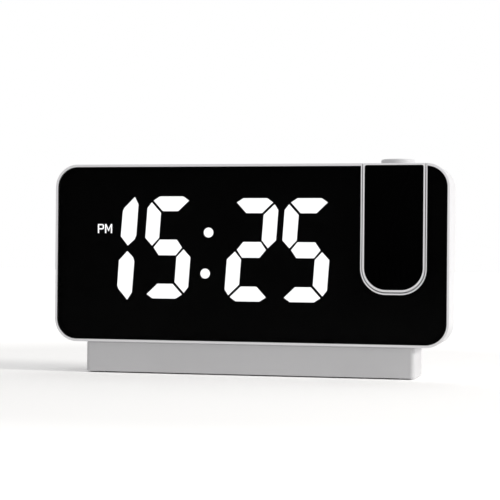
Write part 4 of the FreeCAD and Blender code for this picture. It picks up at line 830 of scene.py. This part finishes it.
    def digit(self, name: str, x: float, z: float, lit: Sequence[Segment]) -> bpy.types.Object:
        """A digit's lit windows.

        Args:
            name: name of the piece.
            x: X of its middle.
            z: Z of its middle.
            lit: the segments that are lit.

        Returns:
            The digit as one mesh.
        """
        shapes = self.outlines()
        tiles = [cut_tile(self.lean_over(shapes[segment], x, z), self.tile_middle, self.film)
                 for segment in lit]
        return join_all(tiles, name)

    def first_digit(self) -> bpy.types.Object:
        """The first digit, which has only two long pointed segments.

        Returns:
            The digit as one mesh.
        """
        upper = list(self.first_segment)
        lower = [(x, -z) for x, z in upper]
        tiles = [cut_tile(self.lean_over(corners, self.left_pair[0], self.first_middle),
                          self.tile_middle, self.film) for corners in (upper, lower)]
        return join_all(tiles, "lit_digit_1")

    def colon_dots(self) -> bpy.types.Object:
        """The two round dots between the pairs of digits.

        Returns:
            Both dots as one mesh.
        """
        dots = []
        for x, z in self.colon:
            deselect_all()
            bpy.ops.mesh.primitive_cylinder_add(
                vertices=self.dot_vertices, radius=self.colon_radius, depth=self.film,
                location=(x, self.tile_middle, z), rotation=(math.pi / 2.0, 0.0, 0.0))
            dots.append(bpy.context.object)
        return join_all(dots, "lit_colon")

    def afternoon_sign(self) -> bpy.types.Object:
        """The letters P and M, in plain bold strokes.

        Returns:
            Both letters as one mesh.
        """
        strokes = self.strokes_of_p() + self.strokes_of_m()
        tiles = [cut_tile(shape, self.tile_middle, self.film) for shape in strokes]
        return join_all(tiles, "afternoon_sign")

    def strokes_of_p(self) -> list[Outline]:
        """Strokes of the letter P.

        Returns:
            Convex outlines that meet at their edges: the stem and the three sides of the bowl.
        """
        low, high, stroke = self.letters_low, self.letters_high, self.stroke
        left, right = self.letter_p
        inner = left + stroke
        bowl = high - self.bowl_share * (high - low)
        bend, level = self.bend_share * stroke, self.level_share * stroke
        upper = [(inner, high), (right - self.shoulder_share * stroke, high),
                 (right - bend, high - bend), (right - stroke, high - level),
                 (inner, high - level)]
        side = [(right - bend, high - bend), (right, high - stroke), (right, bowl + stroke),
                (right - bend, bowl + bend), (right - stroke, bowl + level),
                (right - stroke, high - level)]
        return [bar(left, inner, low, high), upper, side,
                [(x, high + bowl - z) for x, z in upper]]

    def strokes_of_m(self) -> list[Outline]:
        """Strokes of the letter M.

        Returns:
            Convex outlines: each stem and slope, and its mirror image.
        """
        low, high, stroke = self.letters_low, self.letters_high, self.stroke
        left, right = self.letter_m
        inner, middle = left + stroke, (left + right) / 2.0
        valley, fall = low + self.valley_share * stroke, self.fall_share * stroke
        stem = bar(left, inner, low, high)
        slope = [(inner, high), (middle, valley + fall), (middle, valley), (inner, high - fall)]
        strokes = []
        for shape in (stem, slope):
            strokes += [shape, [(left + right - x, z) for x, z in shape]]
        return strokes


@dataclass
class Electronics(SubAssembly):
    """Boards and parts inside the case."""

    def build(self) -> None:
        """Dress what lies behind the display."""
        self.dress("circuit_board", ["main_board", "snooze_board", "port_board"])
        self.dress("black_nylon", ["board_header", "board_chips", "key_switches",
                                   "snooze_switch", "buzzer", "cell_holder"])
        self.dress("zinc_steel", ["main_screws", "coin_cell"])


@dataclass
class RearPanel(SubAssembly):
    """Keys with their marks, battery door, and sockets with their contacts."""

    mark_height: float = 0.12 * MM
    mark_lift: float = 0.25        # middle of a mark above the key's face, in its heights
    mark_line: float = 0.42 * MM
    mark_reach: float = 1.35 * MM
    hand_line: float = 0.35 * MM
    hand_reach: Pair = (0.7, 0.6)  # this and the next six are in mark_reach
    bell_dome: Corners = ((-0.8, -0.55), (0.8, -0.55), (0.68, 0.3), (0.45, 0.72), (0.0, 0.92),
                          (-0.45, 0.72), (-0.68, 0.3))
    bell_rim: Edges = (-1.0, 1.0, -0.82, -0.62)
    bell_clapper: Edges = (-0.2, 0.2, -1.1, -0.86)
    beam_cone: Corners = ((-0.1, 0.28), (-1.2, 1.0), (-1.2, -1.0), (-0.1, -0.28))
    beam_lamp: Edges = (0.15, 1.2, -0.5, 0.5)
    beam_lens: float = 0.1
    tongue_z: Pair = (3.1 * MM, 4.9 * MM)
    tongue_share: float = 2.0 / 3.0
    sleeve: float = 0.12 * MM      # from the tongue to the sleeve's outside
    sleeve_rim: float = 0.096 * MM
    sleeve_edge: float = 0.05 * MM
    sleeve_length: float = 9.0 * MM
    sleeve_inside: float = 0.85 * MM
    contacts: int = 4
    contact_pitch: float = 2.0 * MM
    contact_width: float = 1.0 * MM
    contact_height: float = 0.06 * MM
    contact_edge: float = 0.024 * MM
    contact_length: float = 0.8    # this and the next are in sleeve_length
    contact_middle: float = 0.48

    def build(self) -> None:
        """Dress the back, mark the keys and add the wide socket's contacts."""
        self.dress("button_satin", ["mode_key", "up_key", "down_key", "alarm_key",
                                    "projector_key"])
        self.dress("white_satin", ["cell_door"])
        self.dress("zinc_steel", ["door_screw"])
        self.dress("socket_nickel", ["usb_outlet", "power_inlet"])
        marks = {Body.MODE: self.hands(), Body.UP: self.plus(), Body.DOWN: self.minus(),
                 Body.ALARM: self.bell(), Body.PROJECTOR: self.beam()}
        for body, outlines in marks.items():
            key = body.value.replace("button", "key")
            low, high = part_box(key)
            middle = (low + high) / 2.0
            place = Vector((middle.x, high.y, middle.z))
            tiles = [self.dial(place)] if body is Body.MODE else []
            tiles += [self.tile_on(place, outline) for outline in outlines]
            self.mount(join_all(tiles, f"{key}_mark"), body, "mark_grey", "black_plastic")
        self.mount(self.tongue_sleeve(), Body.CASE, "black_nylon", "black_plastic")
        self.mount(self.tongue_contacts(), Body.CASE, "contact_gold", "socket_steel")

    def tile_on(self, place: Vector, corners: Outline) -> bpy.types.Object:
        """A raised tile on a key.

        Args:
            place: middle of the key's face.
            corners: the tile's outline about it.

        Returns:
            The tile.
        """
        return cut_tile([(place.x + x, place.z + z) for x, z in corners],
                        place.y + self.mark_lift * self.mark_height, self.mark_height)

    def dial(self, place: Vector) -> bpy.types.Object:
        """Ring of the dial on the key that sets the mode.

        Args:
            place: middle of the key's face.

        Returns:
            The ring.
        """
        deselect_all()
        bpy.ops.mesh.primitive_torus_add(
            location=place, rotation=(math.pi / 2.0, 0.0, 0.0), major_segments=48,
            minor_segments=8, major_radius=self.mark_reach, minor_radius=self.mark_line / 2.0)
        ring = bpy.context.object
        ring.scale = (1.0, 1.0, self.mark_height / self.mark_line)
        return ring

    def scaled(self, corners: Sequence[Pair]) -> Outline:
        """An outline that is given in mark_reach."""
        return [(x * self.mark_reach, z * self.mark_reach) for x, z in corners]

    def hands(self) -> list[Outline]:
        """The dial's two hands.

        Returns:
            Outlines about the middle of the key's face, as for the next four marks.
        """
        half = self.hand_line / 2.0
        up, left = (share * self.mark_reach for share in self.hand_reach)
        return [bar(-half, half, -half, up), bar(-left, -half, -half, half)]

    def plus(self) -> list[Outline]:
        """A plus sign, for the key that counts up."""
        half, reach = self.mark_line / 2.0, self.mark_reach
        return [bar(-reach, reach, -half, half), bar(-half, half, half, reach),
                bar(-half, half, -reach, -half)]

    def minus(self) -> list[Outline]:
        """A minus sign, for the key that counts down."""
        half, reach = self.mark_line / 2.0, self.mark_reach
        return [bar(-reach, reach, -half, half)]

    def bell(self) -> list[Outline]:
        """A bell, for the alarm key."""
        return [self.scaled(self.bell_dome), self.scaled(bar(*self.bell_rim)),
                self.scaled(bar(*self.bell_clapper))]

    def beam(self) -> list[Outline]:
        """A lamp and its widening beam, for the projector key."""
        half = self.mark_line / 2.0
        return [self.scaled(bar(*self.beam_lamp)), self.scaled(self.beam_cone),
                bar(0.0, self.beam_lens * self.mark_reach, -half, half)]

    def tongue_sleeve(self) -> bpy.types.Object:
        """Moulded sleeve over the contact tongue of the wide socket.

        Returns:
            The sleeve, open towards the inner end of the socket.
        """
        low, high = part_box("usb_outlet")
        middle = (low.x + high.x) / 2.0
        width = (high.x - low.x) * self.tongue_share + 2.0 * self.sleeve
        bottom, top = (low.z + edge for edge in self.tongue_z)
        deselect_all()
        bpy.ops.mesh.primitive_cube_add(
            size=1.0, location=(middle, high.y - self.sleeve_inside - self.sleeve_length / 2.0,
                                (bottom + top) / 2.0),
            scale=(width, self.sleeve_length, top - bottom + 2.0 * self.sleeve))
        sleeve = settle(bpy.context.object, "tongue_sleeve")
        pick_faces(sleeve, lambda face: face.normal.y < -FACING)
        bpy.ops.mesh.inset(thickness=self.sleeve_rim)
        bpy.ops.mesh.extrude_region_move(
            TRANSFORM_OT_translate={"value": (0.0, self.sleeve_length - 2.0 * self.sleeve, 0.0)})
        bpy.ops.object.mode_set(mode="OBJECT")
        soften(sleeve, self.sleeve_edge)
        return settle(sleeve, "tongue_sleeve")

    def tongue_contacts(self) -> bpy.types.Object:
        """Plated contacts on the tongue's lower face.

        Returns:
            The contacts as one mesh.
        """
        low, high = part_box("usb_outlet")
        middle = (low.x + high.x) / 2.0
        y = high.y - self.sleeve_inside - self.contact_middle * self.sleeve_length
        face = low.z + self.tongue_z[0] - self.sleeve
        strips = []
        for index in range(self.contacts):
            x = middle + (index - (self.contacts - 1) / 2.0) * self.contact_pitch
            deselect_all()
            bpy.ops.mesh.primitive_cube_add(
                size=1.0, location=(x, y, face),
                scale=(self.contact_width, self.contact_length * self.sleeve_length,
                       2.0 * self.contact_height))
            strip = settle(bpy.context.object, "contact")
            soften(strip, self.contact_edge)
            strips.append(strip)
        return join_all(strips, "tongue_contacts")


@dataclass
class SnoozeKnob(SubAssembly):
    """Round snooze button in the top."""

    def build(self) -> None:
        """Dress the button."""
        self.dress("button_satin", ["snooze_button"])


@dataclass
class Stand(SubAssembly):
    """Base, its cover, weight, screws and feet."""

    def build(self) -> None:
        """Dress the base."""
        # the base shell takes the darker white, which is painted shade
        self.dress("base_satin", ["base_shell"])
        self.dress("cover_matt", ["base_cover"])
        self.dress("zinc_steel", ["cover_screws", "stand_screws", "ballast_plate"])
        self.dress("foot_rubber", ["rubber_feet"])


@dataclass
class ProjectorArm(SubAssembly):
    """Arm with its optics, hinge and focus wheel."""

    def build(self) -> None:
        """Dress the arm and its optics."""
        self.dress("white_satin", ["arm_shell", "arm_cover"])
        self.dress("arm_acrylic", ["arm_plate"])
        self.dress("zinc_steel", ["arm_screws"])
        self.dress("hinge_steel", ["hinge_pins", "hinge_washers"])
        self.dress("black_nylon", ["lamp_house", "lens_cell"])
        self.dress("wheel_nylon", ["focus_wheel"])
        self.dress("lens_glass", ["projection_lens", "condenser_lens", "lcd_slide"])
        self.dress("circuit_board", ["lamp_board"])
        self.dress("lamp_package", ["projector_lamp"])


@dataclass
class Studio:
    """Camera, floor, sky and lamps. Nothing here is part of the clock."""

    camera_place: Point = (157.07 * MM, -712.09 * MM, 53.58 * MM)
    yaw: float = math.radians(-12.594)
    pitch: float = math.radians(0.331)
    roll: float = math.radians(0.486)
    focal_pixels: float = 1560.0
    sensor: float = 36.0
    clip: Pair = (0.05, 50.0)
    floor_size: float = 12.0
    floor_colour: Colour = (0.93, 0.925, 0.92)
    floor_tones: Pair = (0.995, 1.0)
    floor_clouds: float = 6.0
    floor_near: float = 0.22
    floor_far: float = 0.75
    floor_gain: float = 1.84
    floor_far_gain: float = 3.6
    sky_fill: float = 0.445
    sky_lean: float = 0.18
    key_power: float = 9.8
    key_colour: Colour = (1.0, 0.985, 0.96)
    key_target: Point = (0.04, 0.0, 0.03)
    key_direction: Point = (0.931, -0.131, 0.342)
    key_distance: float = 1.6
    key_size: float = 0.34
    edge_power: float = 3.0
    edge_size: Pair = (0.7, 0.5)
    edge_place: Point = (0.0, -1.1, 0.12)
    edge_lit: tuple[str, ...] = ("front_frame", "projector_well", "arm_shell", "arm_cover")
    card_tone: float = 0.002
    card_low: tuple[Pair, Pair] = ((-2.58, 0.004), (5.0, 5.0))       # Y and Z, then size
    card_upright: tuple[Pair, Pair] = ((-1.6, 1.5), (5.0, 3.2))

    def build(self) -> None:
        """Set up the whole studio."""
        self.aim_camera()
        self.lay_floor()
        self.light_sky()
        self.hang_key()
        self.hang_edge_lamp()
        self.hang_dark_cards()
        bpy.context.scene.view_settings.view_transform = "Standard"
        log.info("studio ready")

    def aim_camera(self) -> None:
        """Put the camera where the photograph was taken from."""
        forward = Vector((math.sin(self.yaw) * math.cos(self.pitch),
                          math.cos(self.yaw) * math.cos(self.pitch), math.sin(self.pitch)))
        level = Vector((math.cos(self.yaw), -math.sin(self.yaw), 0.0))
        upward = level.cross(forward)
        right = math.cos(self.roll) * level + math.sin(self.roll) * upward
        top = math.cos(self.roll) * upward - math.sin(self.roll) * level
        turned = Matrix((right, top, -forward)).transposed().to_4x4()
        data = bpy.data.cameras.new("photo_camera")
        camera = into_scene("photo_camera", data)
        camera.matrix_world = Matrix.Translation(self.camera_place) @ turned
        data.sensor_width = self.sensor
        data.lens = self.focal_pixels / PHOTO_SIDE * self.sensor
        data.clip_start, data.clip_end = self.clip
        bpy.context.scene.camera = camera

    def lay_floor(self) -> None:
        """White floor, whose tone is raised for the camera, and more so far away."""
        bpy.ops.mesh.primitive_plane_add(size=self.floor_size)
        floor = bpy.context.object
        floor.name = "studio_floor"
        paint = Paint("studio_floor")
        paint.tint(paint.noise(self.floor_clouds),
                   *shades(self.floor_colour, self.floor_tones))
        place = paint.node("TexCoord")
        distance = paint.node("VectorMath", operation="LENGTH")
        reach = paint.node("MapRange", from_min=self.floor_near, from_max=self.floor_far,
                           to_min=self.floor_gain, to_max=self.floor_far_gain)
        gain = paint.node("MapRange", to_min=1.0)
        bright = paint.node("VectorMath", operation="SCALE")
        ramp = paint.shader.inputs["Base Color"].links[0].from_socket
        paint.join(place.outputs["Object"], distance.inputs[0])
        paint.join(distance.outputs["Value"], reach.inputs["Value"])
        paint.join(reach.outputs["Result"], gain.inputs["To Max"])
        paint.join(paint.seen_rays(), gain.inputs["Value"])
        paint.join(ramp, bright.inputs[0])
        paint.join(gain.outputs["Result"], bright.inputs["Scale"])
        matt = paint.node("BsdfDiffuse")
        output = paint.tree.nodes["Material Output"]
        paint.join(bright.outputs["Vector"], matt.inputs["Color"])
        paint.join(matt.outputs["BSDF"], output.inputs["Surface"])
        floor.data.materials.append(paint.material)

    def light_sky(self) -> None:
        """White sky for the camera and in reflections. As fill light it is dimmer on the left."""
        world = bpy.data.worlds.new("studio_sky")
        bpy.context.scene.world = world
        world.use_nodes = True
        sky = Nodes(world.node_tree)
        shine = sky.tree.nodes["Background"]
        shine.inputs["Color"].default_value = (1.0, 1.0, 1.0, 1.0)
        place = sky.node("TexCoord")
        parts = sky.node("SeparateXYZ")
        side = sky.node("MapRange", from_min=-1.0, to_min=self.sky_fill - self.sky_lean,
                        to_max=self.sky_fill + self.sky_lean)
        mix = sky.node("MapRange", to_max=1.0)
        sky.join(place.outputs["Generated"], parts.inputs["Vector"])
        sky.join(parts.outputs["X"], side.inputs["Value"])
        sky.join(side.outputs["Result"], mix.inputs["To Min"])
        sky.join(sky.seen_rays(), mix.inputs["Value"])
        sky.join(mix.outputs["Result"], shine.inputs["Strength"])

    def hang_key(self) -> None:
        """Soft lamp on the right, low, that grazes the front of the clock."""
        data = bpy.data.lights.new("key_lamp", "AREA")
        data.shape = "DISK"
        data.size = self.key_size
        data.energy = self.key_power
        data.color = self.key_colour
        lamp = into_scene("key_lamp", data)
        direction = Vector(self.key_direction).normalized()
        lamp.location = Vector(self.key_target) + direction * self.key_distance
        lamp.rotation_euler = direction.to_track_quat("Z", "Y").to_euler()

    def hang_edge_lamp(self) -> None:
        """Flagged soft lamp in front, which lights only the case and arm mouldings."""
        data = bpy.data.lights.new("edge_lamp", "AREA")
        data.shape = "RECTANGLE"
        data.size, data.size_y = self.edge_size
        data.energy = self.edge_power
        lamp = into_scene("edge_lamp", data)
        lamp.location = self.edge_place
        lamp.rotation_euler = (math.pi / 2.0, 0.0, 0.0)
        receivers = bpy.data.collections.new("edge_receivers")
        for name in self.edge_lit:
            receivers.objects.link(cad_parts[name])
        lamp.light_linking.receiver_collection = receivers

    def hang_dark_cards(self) -> None:
        """Dark cards in front of the clock that only its mirror sees."""
        paint = Paint("dark_card")
        paint.set(base_color=(self.card_tone,) * 3 + (1.0,), roughness=1.0,
                  specular_ior_level=0.0)
        cards = ((self.card_low, 0.0), (self.card_upright, math.pi / 2.0))
        for index, (((y, z), (width, length)), tilt) in enumerate(cards):
            bpy.ops.mesh.primitive_plane_add(size=1.0, location=(0.0, y, z),
                                             rotation=(tilt, 0.0, 0.0))
            card = bpy.context.object
            card.name = f"dark_card_{index}"
            card.scale = (width, length, 1.0)
            card.data.materials.append(paint.material)
            card.visible_camera = False
            card.visible_diffuse = False
            card.visible_shadow = False
            card.visible_transmission = False


def main() -> None:
    """Build every sub-assembly, then the studio."""
    logging.basicConfig(level=logging.INFO, format="%(name)s: %(message)s")
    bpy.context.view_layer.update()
    palette = Palette()
    palette.build()
    for kind in (Housing, Display, Electronics, RearPanel, SnoozeKnob, Stand, ProjectorArm):
        kind(palette).build()
    Studio().build()


if __name__ == "__main__":
    main()
